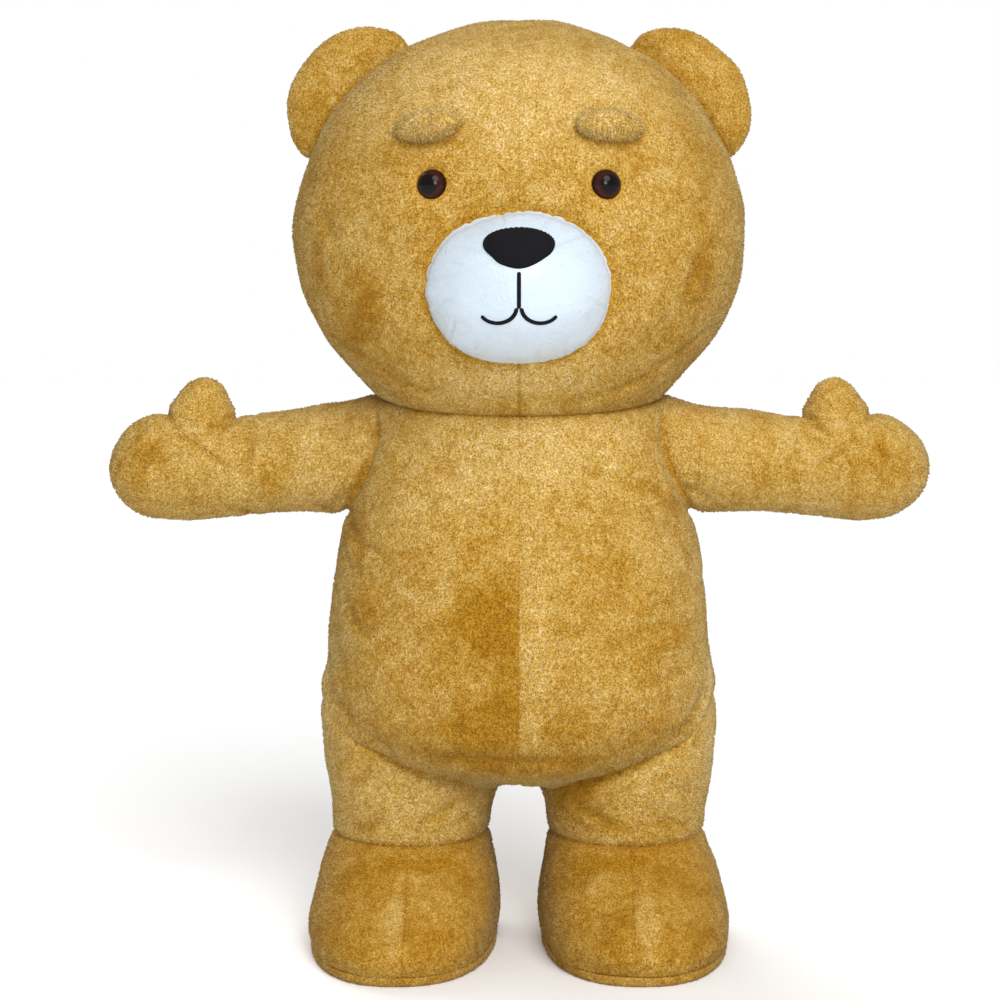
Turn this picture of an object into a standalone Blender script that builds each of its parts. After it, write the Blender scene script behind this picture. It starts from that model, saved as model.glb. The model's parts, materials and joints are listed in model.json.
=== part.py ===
"""Bear mascot costume: a one-piece plush suit with its head on, filled out as when it is worn.

Units are metres, +Z is up and the bear faces -Y, so its left side is at +X.
The origin is on the ground, under the middle of the costume.
Each garment piece is a thin wall: an outer form, less the same form set in by the
cloth's thickness, less the room that its neighbours take, kept on its side of the seams.
"""

import math
from collections import namedtuple

import bmesh
import bpy
from mathutils import Matrix, Vector
from mathutils.bvhtree import BVHTree

# Cloth and seams
PLUSH = 0.005  # backing and pile together
SATIN = 0.002
SEAM_GAP = 0.0003
LUMEN_OVERRUN = 0.03  # how far a hollow runs past an open end

# Moves the costume so that its box is centred on the origin
CENTRE_SHIFT = 0.0657

# Facets round each form
HEAD_SIDES = 32
TORSO_SIDES = 32
LEG_SIDES = 24
FOOT_SIDES = 28
ARM_SIDES = 20
THUMB_SIDES = 14

# Level rings of the trunk, legs and feet. Front and back are depths from the middle,
# square is the exponent of the outline (2 is an ellipse), and tilt is the rise per metre
# towards the back.
Ring = namedtuple("Ring", "height centre half_width front back square tilt")

NECK = Ring(1.188, 0.0, 0.302, 0.264, 0.252, 2.1, 0.133)

HEAD = (
    NECK,
    Ring(1.240, 0.0, 0.351, 0.312, 0.290, 2.1, 0.110),
    Ring(1.315, 0.0, 0.415, 0.366, 0.335, 2.15, 0.070),
    Ring(1.410, 0.0, 0.462, 0.403, 0.368, 2.2, 0.030),
    Ring(1.510, 0.0, 0.480, 0.418, 0.385, 2.2, 0.0),
    Ring(1.610, 0.0, 0.472, 0.414, 0.385, 2.2, 0.0),
    Ring(1.705, 0.0, 0.440, 0.390, 0.366, 2.15, 0.0),
    Ring(1.795, 0.0, 0.388, 0.346, 0.326, 2.1, 0.0),
    Ring(1.875, 0.0, 0.314, 0.280, 0.266, 2.05, 0.0),
    Ring(1.932, 0.0, 0.216, 0.193, 0.185, 2.0, 0.0),
    Ring(1.970, 0.0, 0.106, 0.095, 0.091, 2.0, 0.0),
    Ring(1.982, 0.0, 0.0, 0.0, 0.0, 2.0, 0.0),
)

TORSO = (
    Ring(0.356, 0.0, 0.0, 0.0, 0.0, 2.0, 0.0),
    Ring(0.362, 0.0, 0.130, 0.115, 0.105, 2.0, 0.0),
    Ring(0.382, 0.0, 0.245, 0.208, 0.192, 2.1, 0.0),
    Ring(0.424, 0.0, 0.335, 0.276, 0.256, 2.2, 0.0),
    Ring(0.485, 0.0, 0.390, 0.318, 0.294, 2.25, 0.0),
    Ring(0.565, 0.0, 0.414, 0.338, 0.312, 2.25, 0.0),
    Ring(0.670, 0.0, 0.413, 0.340, 0.314, 2.2, 0.0),
    Ring(0.780, 0.0, 0.402, 0.330, 0.307, 2.2, 0.0),
    Ring(0.890, 0.0, 0.383, 0.314, 0.295, 2.2, 0.02),
    Ring(1.000, 0.0, 0.358, 0.296, 0.281, 2.2, 0.05),
    Ring(1.100, 0.0, 0.330, 0.279, 0.266, 2.15, 0.09),
    NECK,
)

ANKLE = Ring(0.238, 0.236, 0.170, 0.170, 0.170, 2.1, 0.0)

LEG = (
    ANKLE,
    Ring(0.300, 0.235, 0.176, 0.176, 0.174, 2.15, 0.0),
    Ring(0.366, 0.237, 0.184, 0.184, 0.180, 2.2, 0.0),
    Ring(0.432, 0.238, 0.187, 0.184, 0.182, 2.2, 0.0),
    Ring(0.500, 0.236, 0.184, 0.172, 0.172, 2.2, 0.0),
    Ring(0.560, 0.232, 0.172, 0.155, 0.155, 2.2, 0.0),
)

FOOT = (
    Ring(0.020, 0.250, 0.202, 0.378, 0.184, 2.4, 0.0),
    Ring(0.052, 0.250, 0.206, 0.384, 0.190, 2.4, 0.0),
    Ring(0.090, 0.247, 0.204, 0.364, 0.192, 2.35, 0.0),
    Ring(0.128, 0.243, 0.198, 0.312, 0.190, 2.25, 0.0),
    Ring(0.166, 0.240, 0.190, 0.258, 0.184, 2.2, 0.0),
    Ring(0.204, 0.237, 0.179, 0.207, 0.176, 2.15, 0.0),
    ANKLE,
)

FOOT_SEAM = 0.236  # how far out the seam down the middle of each foot lies

SOLE = (
    Ring(0.000, 0.250, 0.195, 0.371, 0.177, 2.4, 0.0),
    Ring(0.007, 0.250, 0.201, 0.377, 0.183, 2.4, 0.0),
    Ring(0.020, 0.250, 0.202, 0.378, 0.184, 2.4, 0.0),
)

# Upright sections of the arm and mitten, along their reach from the middle
Section = namedtuple("Section", "reach height half_height half_depth square")

ARM = (
    Section(0.220, 1.060, 0.122, 0.118, 2.1),
    Section(0.330, 1.057, 0.124, 0.120, 2.1),
    Section(0.390, 1.053, 0.120, 0.116, 2.1),
    Section(0.460, 1.049, 0.115, 0.109, 2.1),
    Section(0.530, 1.044, 0.110, 0.101, 2.1),
    Section(0.590, 1.036, 0.108, 0.096, 2.1),
    Section(0.650, 1.034, 0.112, 0.097, 2.1),
    Section(0.710, 1.033, 0.116, 0.099, 2.1),
    Section(0.760, 1.034, 0.116, 0.096, 2.1),
    Section(0.806, 1.032, 0.109, 0.088, 2.15),
    Section(0.846, 1.030, 0.086, 0.071, 2.1),
    Section(0.874, 1.029, 0.051, 0.043, 2.0),
    Section(0.887, 1.028, 0.0, 0.0, 2.0),
)

THUMB = (
    Ring(1.060, 0.688, 0.072, 0.050, 0.050, 2.0, 0.0),
    Ring(1.118, 0.686, 0.084, 0.056, 0.056, 2.0, 0.0),
    Ring(1.152, 0.684, 0.075, 0.054, 0.054, 2.0, 0.0),
    Ring(1.182, 0.681, 0.056, 0.050, 0.050, 2.0, 0.0),
    Ring(1.211, 0.680, 0.039, 0.037, 0.037, 2.0, 0.0),
    Ring(1.229, 0.680, 0.0, 0.0, 0.0, 2.0, 0.0),
)

# Rounded lobes: where the middle is, the half sizes, and the turns about X, Y and Z
Lobe = namedtuple("Lobe", "middle radii turn taper sides rings")

EAR = Lobe((0.344, 0.020, 1.816), (0.145, 0.068, 0.168), (0.0, -44.0, 0.0), 0.0, 20, 12)
MUZZLE = Lobe((0.0, -0.325, 1.420), (0.196, 0.188, 0.166), (0.0, 0.0, 0.0), 0.0, 32, 16)
NOSE = Lobe((0.0, -0.486, 1.482), (0.066, 0.030, 0.046), (-22.0, 0.0, 0.0), 0.32, 20, 10)
BROW = Lobe((0.178, -0.357, 1.726), (0.074, 0.040, 0.033), (-20.0, 6.0, 26.0), 0.0, 20, 10)
EYE = Lobe((0.170, -0.381, 1.612), (0.031, 0.027, 0.031), (0.0, 0.0, 22.0), 0.0, 20, 10)

# The line of the mouth, as an upright stem and a curl to each side
MOUTH_TOP = 1.436
MOUTH_HEIGHT = 1.372
MOUTH_CURL = 0.036  # radius of each side's curl
MOUTH_SWEEP = math.radians(150.0)
MOUTH_THICK = 0.0045

# The way in: a zip down the middle of the back
ZIP_BOTTOM = 0.520
ZIP_TOP = 1.120
ZIP_ROWS = 10
SLOT_HALF = 0.007
TAPE_HALF = 0.016
TAPE_THICK = 0.0012
TAPE_MARGIN = 0.012  # how far the tape runs past the slot's ends
CHAIN_HALF = 0.0035
CHAIN_THICK = 0.0026
SLIDER_HEIGHT = 1.090
SLIDER_SIZE = (0.011, 0.0032, 0.018)
CHEEK_THICK = 0.0016
CHEEK_REACH = 0.0060
PIN_RADIUS = 0.0011
EYE_RADIUS = 0.0026
PULL_SIZE = (0.0080, 0.0016, 0.0340)

Finish = namedtuple("Finish", "colour roughness metallic")
FINISHES = {
    "plush": Finish((0.52, 0.30, 0.10), 0.95, 0.0),
    "satin": Finish((0.80, 0.83, 0.88), 0.45, 0.0),
    "black cloth": Finish((0.012, 0.012, 0.013), 0.8, 0.0),
    "glossy brown": Finish((0.035, 0.010, 0.008), 0.08, 0.0),
    "zip cloth": Finish((0.36, 0.22, 0.09), 0.8, 0.0),
    "zip metal": Finish((0.55, 0.45, 0.28), 0.35, 1.0),
}


def clear_scene():
    """Remove everything that was in the file."""
    for thing in list(bpy.data.objects):
        bpy.data.objects.remove(thing, do_unlink=True)


def make_materials():
    """One Principled material for each finish."""
    made = {}
    for name, finish in FINISHES.items():
        material = bpy.data.materials.new(name)
        material.use_nodes = True
        shader = material.node_tree.nodes["Principled BSDF"]
        shader.inputs["Base Color"].default_value = (*finish.colour, 1.0)
        shader.inputs["Roughness"].default_value = finish.roughness
        shader.inputs["Metallic"].default_value = finish.metallic
        made[name] = material
    return made


def make_collection(name):
    """A collection in the scene."""
    collection = bpy.data.collections.new(name)
    bpy.context.scene.collection.children.link(collection)
    return collection


def signed_power(value, power):
    """The power of a value's size, with the value's sign."""
    return math.copysign(abs(value) ** power, value)


def level_ring(row, sides, side=1):
    """The points of a level ring, or its one point where it has no width."""
    if row.half_width <= 0.0:
        return [Vector((side * row.centre, 0.0, row.height))]
    points = []
    for k in range(sides):
        angle = 2.0 * math.pi * k / sides
        x = row.centre + row.half_width * signed_power(math.cos(angle), 2.0 / row.square)
        depth = row.back if math.sin(angle) > 0.0 else row.front
        y = depth * signed_power(math.sin(angle), 2.0 / row.square)
        points.append(Vector((side * x, y, row.height + row.tilt * y)))
    return points


def upright_ring(row, sides, side=1):
    """The points of an upright section across the arm, or its one point at the tip."""
    if row.half_height <= 0.0:
        return [Vector((side * row.reach, 0.0, row.height))]
    points = []
    for k in range(sides):
        angle = 2.0 * math.pi * k / sides
        y = row.half_depth * signed_power(math.cos(angle), 2.0 / row.square)
        z = row.height + row.half_height * signed_power(math.sin(angle), 2.0 / row.square)
        points.append(Vector((side * row.reach, y, z)))
    return points


def bridge(bm, ring, other):
    """Faces between two rings of points, where either may be a single point."""
    count = max(len(ring), len(other))
    for k in range(count):
        after = (k + 1) % count
        corners = []
        for vert in (ring[k % len(ring)], ring[after % len(ring)]):
            if vert not in corners:
                corners.append(vert)
        for vert in (other[after % len(other)], other[k % len(other)]):
            if vert not in corners:
                corners.append(vert)
        bm.faces.new(corners)


def loft(name, rings, inset=0.0, overrun=0.0):
    """A closed mesh through rings of points.

    Its skin is moved in by the inset. An open end is run on by the overrun, then closed flat.
    """
    bm = bmesh.new()
    rows = [[bm.verts.new(point) for point in ring] for ring in rings]
    for ring, other in zip(rows, rows[1:]):
        bridge(bm, ring, other)
    bmesh.ops.recalc_face_normals(bm, faces=bm.faces)
    bm.normal_update()
    moves = [(vert, vert.normal * inset) for vert in bm.verts]
    for vert, move in moves:
        vert.co -= move
    for end, neighbour in ((rows[0], rows[1]), (rows[-1], rows[-2])):
        if len(end) == 1:
            continue
        if overrun > 0.0:
            away = middle_of(end) - middle_of(neighbour)
            away.normalize()
            run_on = [bm.verts.new(vert.co + away * overrun) for vert in end]
            bridge(bm, end, run_on)
            end = run_on
        bm.faces.new(end)
    bmesh.ops.recalc_face_normals(bm, faces=bm.faces)
    return finished_mesh(name, bm)


def middle_of(verts):
    """The mean place of some points."""
    return sum((vert.co for vert in verts), Vector()) / len(verts)


def finished_mesh(name, bm):
    """The mesh of a closed bmesh, facing out and shaded smooth but for its sharp edges."""
    if bm.calc_volume(signed=True) < 0.0:
        bmesh.ops.reverse_faces(bm, faces=bm.faces)
    mesh = bpy.data.meshes.new(name)
    bm.to_mesh(mesh)
    bm.free()
    mesh.shade_smooth()
    mesh.set_sharp_from_angle(angle=math.radians(40.0))
    return mesh


def lobe_mesh(name, lobe, side=1, inset=0.0):
    """A rounded lobe, wider towards its top where it has a taper."""
    bm = bmesh.new()
    bmesh.ops.create_uvsphere(bm, u_segments=lobe.sides, v_segments=lobe.rings, radius=1.0)
    sizes = Vector(lobe.radii) - Vector((inset, inset, inset))
    for vert in bm.verts:
        widen = 1.0 + lobe.taper * vert.co.z
        vert.co = Vector((vert.co.x * sizes.x * widen, vert.co.y * sizes.y, vert.co.z * sizes.z))
    turn = Matrix.Identity(3)
    for degrees, axis in zip(lobe.turn, "XYZ"):
        turn = Matrix.Rotation(math.radians(degrees), 3, axis) @ turn
    for vert in bm.verts:
        place = turn @ vert.co + Vector(lobe.middle)
        vert.co = Vector((side * place.x, place.y, place.z))
    bmesh.ops.recalc_face_normals(bm, faces=bm.faces)
    return finished_mesh(name, bm)


def box_mesh(name, low, high):
    """A box between two corners."""
    bm = bmesh.new()
    bmesh.ops.create_cube(bm, size=1.0)
    for vert in bm.verts:
        for k in range(3):
            vert.co[k] = low[k] if vert.co[k] < 0.0 else high[k]
    return finished_mesh(name, bm)


class Costume:
    """The costume's pieces and the shapes that cut them."""

    def __init__(self):
        self.materials = make_materials()
        self.pieces = make_collection("bear mascot costume")
        self.cutters = make_collection("cutters")
        self.root = bpy.data.objects.new("costume", None)
        self.root.location = (0.0, CENTRE_SHIFT, 0.0)
        self.pieces.objects.link(self.root)

    def piece(self, name, mesh, finish, parent=None):
        """One sub-part of the costume."""
        made = bpy.data.objects.new(name, mesh)
        self.pieces.objects.link(made)
        made.parent = parent or self.root
        made.data.materials.clear()
        made.data.materials.append(self.materials[finish])
        return made

    def cutter(self, name, mesh):
        """A shape that is only there to cut the pieces."""
        made = bpy.data.objects.new(name, mesh)
        self.cutters.objects.link(made)
        made.parent = self.root
        made.hide_render = True
        made.display_type = "WIRE"
        return made

    def half_space(self, name, low, high):
        """A box that keeps one side of a seam."""
        return self.cutter(name, box_mesh(name, low, high))


def combine(piece, other, operation):
    """A Boolean of one object with another."""
    boolean = piece.modifiers.new(operation.lower() + " " + other.name, "BOOLEAN")
    boolean.operation = operation
    boolean.object = other


def garment_wall(costume, name, outer, finish, removed, kept):
    """A garment piece: an outer form less some shapes, kept inside a box."""
    made = costume.piece(name, outer.data.copy(), finish)
    combine(made, kept, "INTERSECT")
    for shape in removed:
        combine(made, shape, "DIFFERENCE")
    return made


def quarter_boxes(costume, name, low, high):
    """The four boxes that meet at the middle seams, half a gap from each."""
    half = 0.5 * SEAM_GAP
    boxes = {}
    for end, y_range in (("front", (low.y, -half)), ("back", (half, high.y))):
        for side, x_range in (("left", (half, high.x)), ("right", (low.x, -half))):
            label = f"{name}_{end}_{side}"
            lowest = (x_range[0], y_range[0], low.z)
            highest = (x_range[1], y_range[1], high.z)
            boxes[end, side] = costume.half_space("keep " + label, lowest, highest)
    return boxes


def form(costume, name, rings, inset=0.0, overrun=0.0):
    """A cutter lofted through rings."""
    return costume.cutter(name, loft(name, rings, inset, overrun))


def lofted_forms(costume, name, rings):
    """An outer form, its hollow and the same form grown by the seam gap."""
    outer = form(costume, name + " form", rings)
    hollow = form(costume, name + " hollow", rings, PLUSH, LUMEN_OVERRUN)
    grown = form(costume, name + " grown", rings, -SEAM_GAP)
    return outer, hollow, grown


def lobe_forms(costume, name, lobe, side, thickness):
    """A lobe's outer form, its hollow and the same lobe grown by the seam gap."""
    outer = costume.cutter(name + " form", lobe_mesh(name, lobe, side))
    hollow = costume.cutter(name + " hollow", lobe_mesh(name, lobe, side, thickness))
    grown = costume.cutter(name + " grown", lobe_mesh(name, lobe, side, -SEAM_GAP))
    return outer, hollow, grown


def trunk_rings():
    """The rings of the head and of the torso, half a seam gap apart at the neck."""
    head = list(HEAD)
    head[0] = head[0]._replace(height=NECK.height + 0.5 * SEAM_GAP)
    torso = list(TORSO)
    torso[-1] = torso[-1]._replace(height=NECK.height - 0.5 * SEAM_GAP)
    head_points = [level_ring(row, HEAD_SIDES) for row in head]
    torso_points = [level_ring(row, TORSO_SIDES) for row in torso]
    return head_points, torso_points


def make_head(costume, forms):
    """Four head panels, cut away inside the muzzle."""
    outer, hollow, _ = forms["head"]
    low, high = Vector((-0.6, -0.7, 1.0)), Vector((0.6, 0.6, 2.2))
    boxes = quarter_boxes(costume, "head", low, high)
    for (end, side), box in boxes.items():
        name = f"head_{'face' if end == 'front' else 'back'}_{side}"
        removed = [hollow]
        if end == "front":
            removed.append(forms["muzzle"][1])
        garment_wall(costume, name, outer, "plush", removed, box)


def make_ears(costume, forms):
    """Each ear's front and back, sewn to the head."""
    for side, sign in (("left", 1), ("right", -1)):
        outer, hollow, _ = lobe_forms(costume, f"ear {side}", EAR, sign, PLUSH)
        seam = EAR.middle[1]
        half = 0.5 * SEAM_GAP
        for end, near, far in (("front", seam - 0.2, seam - half), ("back", seam + half, seam + 0.2)):
            box = costume.half_space(f"keep ear {side} {end}", (-0.7, near, 1.5), (0.7, far, 2.2))
            name = f"ear_{side}_{end}"
            garment_wall(costume, name, outer, "plush", [hollow, forms["head"][2]], box)


def make_face(costume, forms):
    """The muzzle, nose, eyes and brow pads."""
    outer, hollow, grown = forms["muzzle"]
    muzzle = costume.piece("muzzle", outer.data.copy(), "satin")
    combine(muzzle, hollow, "DIFFERENCE")
    combine(muzzle, forms["head"][2], "DIFFERENCE")
    nose = costume.piece("nose", lobe_mesh("nose", NOSE), "black cloth")
    combine(nose, grown, "DIFFERENCE")
    for side, sign in (("left", 1), ("right", -1)):
        brow = costume.piece(f"brow_{side}", lobe_mesh(f"brow_{side}", BROW, sign), "plush")
        combine(brow, forms["head"][2], "DIFFERENCE")
        eye = costume.piece(f"eye_{side}", lobe_mesh(f"eye_{side}", EYE, sign), "glossy brown")
        combine(eye, forms["head"][2], "DIFFERENCE")


def mouth_lines():
    """The mouth's three lines as places across the front: the stem, then each side's curl."""
    steps = 5
    stem_low = MOUTH_HEIGHT + SEAM_GAP
    start = MOUTH_THICK + 0.5 * SEAM_GAP
    stem = [(0.0, MOUTH_TOP + (stem_low - MOUTH_TOP) * k / steps) for k in range(steps + 1)]
    lines = {"mouth_stem": stem}
    for side, sign in (("left", 1), ("right", -1)):
        curl = []
        for k in range(9):
            angle = math.pi + MOUTH_SWEEP * k / 8
            across = start + MOUTH_CURL + MOUTH_CURL * math.cos(angle)
            curl.append((sign * across, MOUTH_HEIGHT + 0.8 * MOUTH_CURL * math.sin(angle)))
        lines[f"mouth_{side}"] = curl
    return lines


def tree_of(thing):
    """A tree of a cutter's faces, for finding places on it."""
    bm = bmesh.new()
    bm.from_mesh(thing.data)
    tree = BVHTree.FromBMesh(bm)
    bm.free()
    return tree


def make_mouth(costume, forms):
    """Three raised cords that lie on the muzzle, cut flat where they meet it."""
    tree = tree_of(forms["muzzle"][0])
    for name, line in mouth_lines().items():
        curve = bpy.data.curves.new(name, "CURVE")
        curve.dimensions = "3D"
        curve.bevel_depth = MOUTH_THICK
        curve.bevel_resolution = 1
        curve.use_fill_caps = True
        spline = curve.splines.new("POLY")
        spline.points.add(len(line) - 1)
        for point, (x, z) in zip(spline.points, line):
            place = tree.ray_cast(Vector((x, -2.0, z)), Vector((0.0, 1.0, 0.0)))[0]
            point.co = (*place, 1.0)
        drawn = bpy.data.objects.new(name + " line", curve)
        costume.cutters.objects.link(drawn)
        bpy.context.view_layer.update()
        evaluated = drawn.evaluated_get(bpy.context.evaluated_depsgraph_get())
        mesh = bpy.data.meshes.new_from_object(evaluated)
        bpy.data.objects.remove(drawn)
        bm = bmesh.new()
        bm.from_mesh(mesh)
        bmesh.ops.remove_doubles(bm, verts=bm.verts, dist=1e-5)
        bmesh.ops.recalc_face_normals(bm, faces=bm.faces)
        cord = costume.piece(name, finished_mesh(name, bm), "black cloth")
        bpy.data.meshes.remove(mesh)
        combine(cord, forms["muzzle"][2], "DIFFERENCE")


def make_torso(costume, forms):
    """Four torso panels with their armholes, leg openings and the slot for the zip."""
    outer, hollow, _ = forms["torso"]
    low, high = Vector((-0.6, -0.6, 0.2)), Vector((0.6, 0.6, 1.4))
    boxes = quarter_boxes(costume, "torso", low, high)
    slot_low = (-SLOT_HALF, 0.1, ZIP_BOTTOM)
    slot = costume.half_space("zip slot", slot_low, (SLOT_HALF, 0.5, ZIP_TOP))
    for (end, side), box in boxes.items():
        removed = [hollow, forms["arm", side][1], forms["leg", side][1]]
        if end == "back":
            removed.append(slot)
        garment_wall(costume, f"body_{end}_{side}", outer, "plush", removed, box)


def limb_halves(costume, name, forms, removed, middle, finish="plush"):
    """A limb's front and back panels, split along its side seams."""
    outer, hollow, _ = forms
    half = 0.5 * SEAM_GAP
    for end, near, far in (("front", -0.5, middle - half), ("back", middle + half, 0.5)):
        box = costume.half_space(f"keep {name} {end}", (-1.1, near, -0.1), (1.1, far, 1.5))
        garment_wall(costume, f"{name}_{end}", outer, finish, [hollow, *removed], box)


def make_limbs(costume, forms):
    """Arms with mittens, and legs."""
    for side in ("left", "right"):
        limb_halves(costume, f"arm_{side}", forms["arm", side], [forms["torso"][2]], 0.0)
        limb_halves(costume, f"leg_{side}", forms["leg", side], [forms["torso"][2]], 0.0)


def arm_forms(costume, side, sign):
    """The arm and its thumb as one outer form, and their hollows as one."""
    arm = [upright_ring(row, ARM_SIDES, sign) for row in ARM]
    thumb = [level_ring(row, THUMB_SIDES, sign) for row in THUMB]
    made = []
    for label, inset in (("form", 0.0), ("hollow", PLUSH)):
        whole = form(costume, f"arm {side} {label}", arm, inset)
        digit = form(costume, f"thumb {side} {label}", thumb, inset)
        combine(whole, digit, "UNION")
        bpy.context.view_layer.update()
        evaluated = whole.evaluated_get(bpy.context.evaluated_depsgraph_get())
        mesh = bpy.data.meshes.new_from_object(evaluated)
        whole.modifiers.clear()
        whole.data = mesh
        bpy.data.objects.remove(digit)
        made.append(whole)
    return made[0], made[1], None


def make_feet(costume, forms):
    """Each foot's inner and outer panels and its sole."""
    half = 0.5 * SEAM_GAP
    for side, sign in (("left", 1), ("right", -1)):
        outer, hollow, _ = forms["foot", side]
        seam = FOOT_SEAM
        for place, near, far in (("inner", -0.2, seam - half), ("outer", seam + half, 0.8)):
            low, high = sorted((sign * near, sign * far))
            box = costume.half_space(f"keep foot {side} {place}", (low, -0.6, -0.1), (high, 0.5, 0.4))
            garment_wall(costume, f"foot_{side}_{place}", outer, "plush", [hollow], box)
        rows = [row._replace(height=row.height - SEAM_GAP * (row is SOLE[-1])) for row in SOLE]
        sole = loft("sole", [level_ring(row, FOOT_SIDES, sign) for row in rows])
        costume.piece(f"sole_{side}", sole, "plush")


def back_place(tree, x, z):
    """Where a level line from behind meets a form."""
    return tree.ray_cast(Vector((x, 2.0, z)), Vector((0.0, -1.0, 0.0)))[0].y


def back_strip(tree, half, top, thick, levels):
    """A strip down the middle of the back, its face set in from the form by the top depth."""
    rings = []
    across = (-half, 0.0, half)
    for z in levels:
        faces = [Vector((x, back_place(tree, x, z) - top, z)) for x in across]
        backs = [place - Vector((0.0, thick, 0.0)) for place in reversed(faces)]
        rings.append(faces + backs)
    return loft("strip", rings)


def make_zip(costume, forms):
    """Tape, chain, slider and pull tab, with the slider run up to the top."""
    outer, hollow, _ = forms["torso"]
    inside = tree_of(hollow)
    tape_set_in = 0.0005
    low, high = ZIP_BOTTOM + SEAM_GAP, ZIP_TOP - SEAM_GAP
    levels = [low + (high - low) * k / ZIP_ROWS for k in range(ZIP_ROWS + 1)]
    tape_levels = [low - TAPE_MARGIN, *levels, high + TAPE_MARGIN]
    tape = back_strip(inside, TAPE_HALF, tape_set_in, TAPE_THICK, tape_levels)
    costume.piece("zip_tape", tape, "zip cloth")
    chain_lift = CHAIN_THICK + SEAM_GAP - tape_set_in
    chain = back_strip(inside, CHAIN_HALF, -chain_lift, CHAIN_THICK, levels)
    costume.piece("zip_chain", chain, "zip metal")
    seat = back_place(inside, 0.0, SLIDER_HEIGHT) + chain_lift
    rise = back_place(inside, 0.0, SLIDER_HEIGHT + 0.01) - back_place(inside, 0.0, SLIDER_HEIGHT - 0.01)
    stand = bpy.data.objects.new("slider place", None)
    costume.pieces.objects.link(stand)
    stand.parent = costume.root
    stand.location = (0.0, seat, SLIDER_HEIGHT)
    stand.rotation_euler = (-math.atan2(rise, 0.02), 0.0, 0.0)
    make_slider(costume, stand)
    make_pull(costume, stand)


def add_cylinder(bm, radius, length, sides, place):
    """A cylinder along X."""
    turn = Matrix.Translation(place) @ Matrix.Rotation(math.radians(90.0), 4, "Y")
    bmesh.ops.create_cone(
        bm, cap_ends=True, segments=sides, radius1=radius, radius2=radius, depth=length, matrix=turn
    )


def pin_place():
    """The middle of the pin that the pull tab hangs from, above the slider's seat."""
    return Vector((0.0, SEAM_GAP + SLIDER_SIZE[1] + CHEEK_REACH - EYE_RADIUS, 0.004))


def make_slider(costume, stand):
    """The slider's body, with two cheeks and a pin between them, as one piece."""
    wide, deep, tall = SLIDER_SIZE
    low = Vector((-0.5 * wide, SEAM_GAP, -0.5 * tall))
    high = Vector((0.5 * wide, SEAM_GAP + deep, 0.5 * tall))
    slider = costume.piece("zip_slider", box_mesh("zip_slider", low, high), "zip metal", stand)
    pin = pin_place()
    for side, sign in (("left", 1), ("right", -1)):
        inner = sign * (0.5 * wide - CHEEK_THICK)
        outer = sign * 0.5 * wide
        start = Vector((min(inner, outer), high.y - 0.001, pin.z - EYE_RADIUS))
        end = Vector((max(inner, outer), high.y + CHEEK_REACH, pin.z + EYE_RADIUS))
        cheek = costume.cutter(f"cheek {side}", box_mesh(f"cheek {side}", start, end))
        cheek.parent = stand
        combine(slider, cheek, "UNION")
    bm = bmesh.new()
    add_cylinder(bm, PIN_RADIUS, wide - CHEEK_THICK, 12, pin)
    bar = costume.cutter("pin", finished_mesh("pin", bm))
    bar.parent = stand
    combine(slider, bar, "UNION")


def make_pull(costume, stand):
    """The pull tab, its origin on the pin, with an eye that turns on it."""
    wide, thick, long = PULL_SIZE
    room = SLIDER_SIZE[0] - 2.0 * CHEEK_THICK - 2.0 * SEAM_GAP
    bm = bmesh.new()
    add_cylinder(bm, EYE_RADIUS, room, 16, Vector())
    pull = costume.piece("zip_pull", finished_mesh("zip_pull", bm), "zip metal", stand)
    pull.location = pin_place()
    neck_low = Vector((-0.5 * room, -0.5 * thick, -0.010))
    neck = box_mesh("pull neck", neck_low, Vector((0.5 * room, 0.5 * thick, -0.0015)))
    tab_low = Vector((-0.5 * wide, -0.5 * thick, -long))
    tab = box_mesh("pull tab", tab_low, Vector((0.5 * wide, 0.5 * thick, -0.009)))
    bm = bmesh.new()
    add_cylinder(bm, PIN_RADIUS + SEAM_GAP, 2.0 * room, 12, Vector())
    bore = finished_mesh("pull bore", bm)
    for mesh, operation in ((neck, "UNION"), (tab, "UNION"), (bore, "DIFFERENCE")):
        shape = costume.cutter(mesh.name, mesh)
        shape.parent = stand
        shape.location = pull.location
        combine(pull, shape, operation)


def main():
    """Build the costume."""
    clear_scene()
    costume = Costume()
    head, torso = trunk_rings()
    forms = {
        "head": lofted_forms(costume, "head", head),
        "torso": lofted_forms(costume, "torso", torso),
        "muzzle": lobe_forms(costume, "muzzle", MUZZLE, 1, SATIN),
    }
    for side, sign in (("left", 1), ("right", -1)):
        leg = list(LEG)
        leg[0] = leg[0]._replace(height=ANKLE.height + 0.5 * SEAM_GAP)
        foot = list(FOOT)
        foot[-1] = foot[-1]._replace(height=ANKLE.height - 0.5 * SEAM_GAP)
        leg_points = [level_ring(row, LEG_SIDES, sign) for row in leg]
        foot_points = [level_ring(row, FOOT_SIDES, sign) for row in foot]
        forms["leg", side] = lofted_forms(costume, f"leg {side}", leg_points)
        forms["foot", side] = lofted_forms(costume, f"foot {side}", foot_points)
        forms["arm", side] = arm_forms(costume, side, sign)
    make_head(costume, forms)
    make_ears(costume, forms)
    make_face(costume, forms)
    make_mouth(costume, forms)
    make_torso(costume, forms)
    make_limbs(costume, forms)
    make_feet(costume, forms)
    make_zip(costume, forms)


if __name__ == "__main__":
    main()
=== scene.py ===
"""Dresses the bear mascot costume: plush panels with their pile, the face, the zip and the stage.

Units are metres and +Z is up. The bear faces -Y, so its left side is at +X. The tables
measure y from the plane of the side seams, and each piece is moved to its place in the frame.
"""

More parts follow.
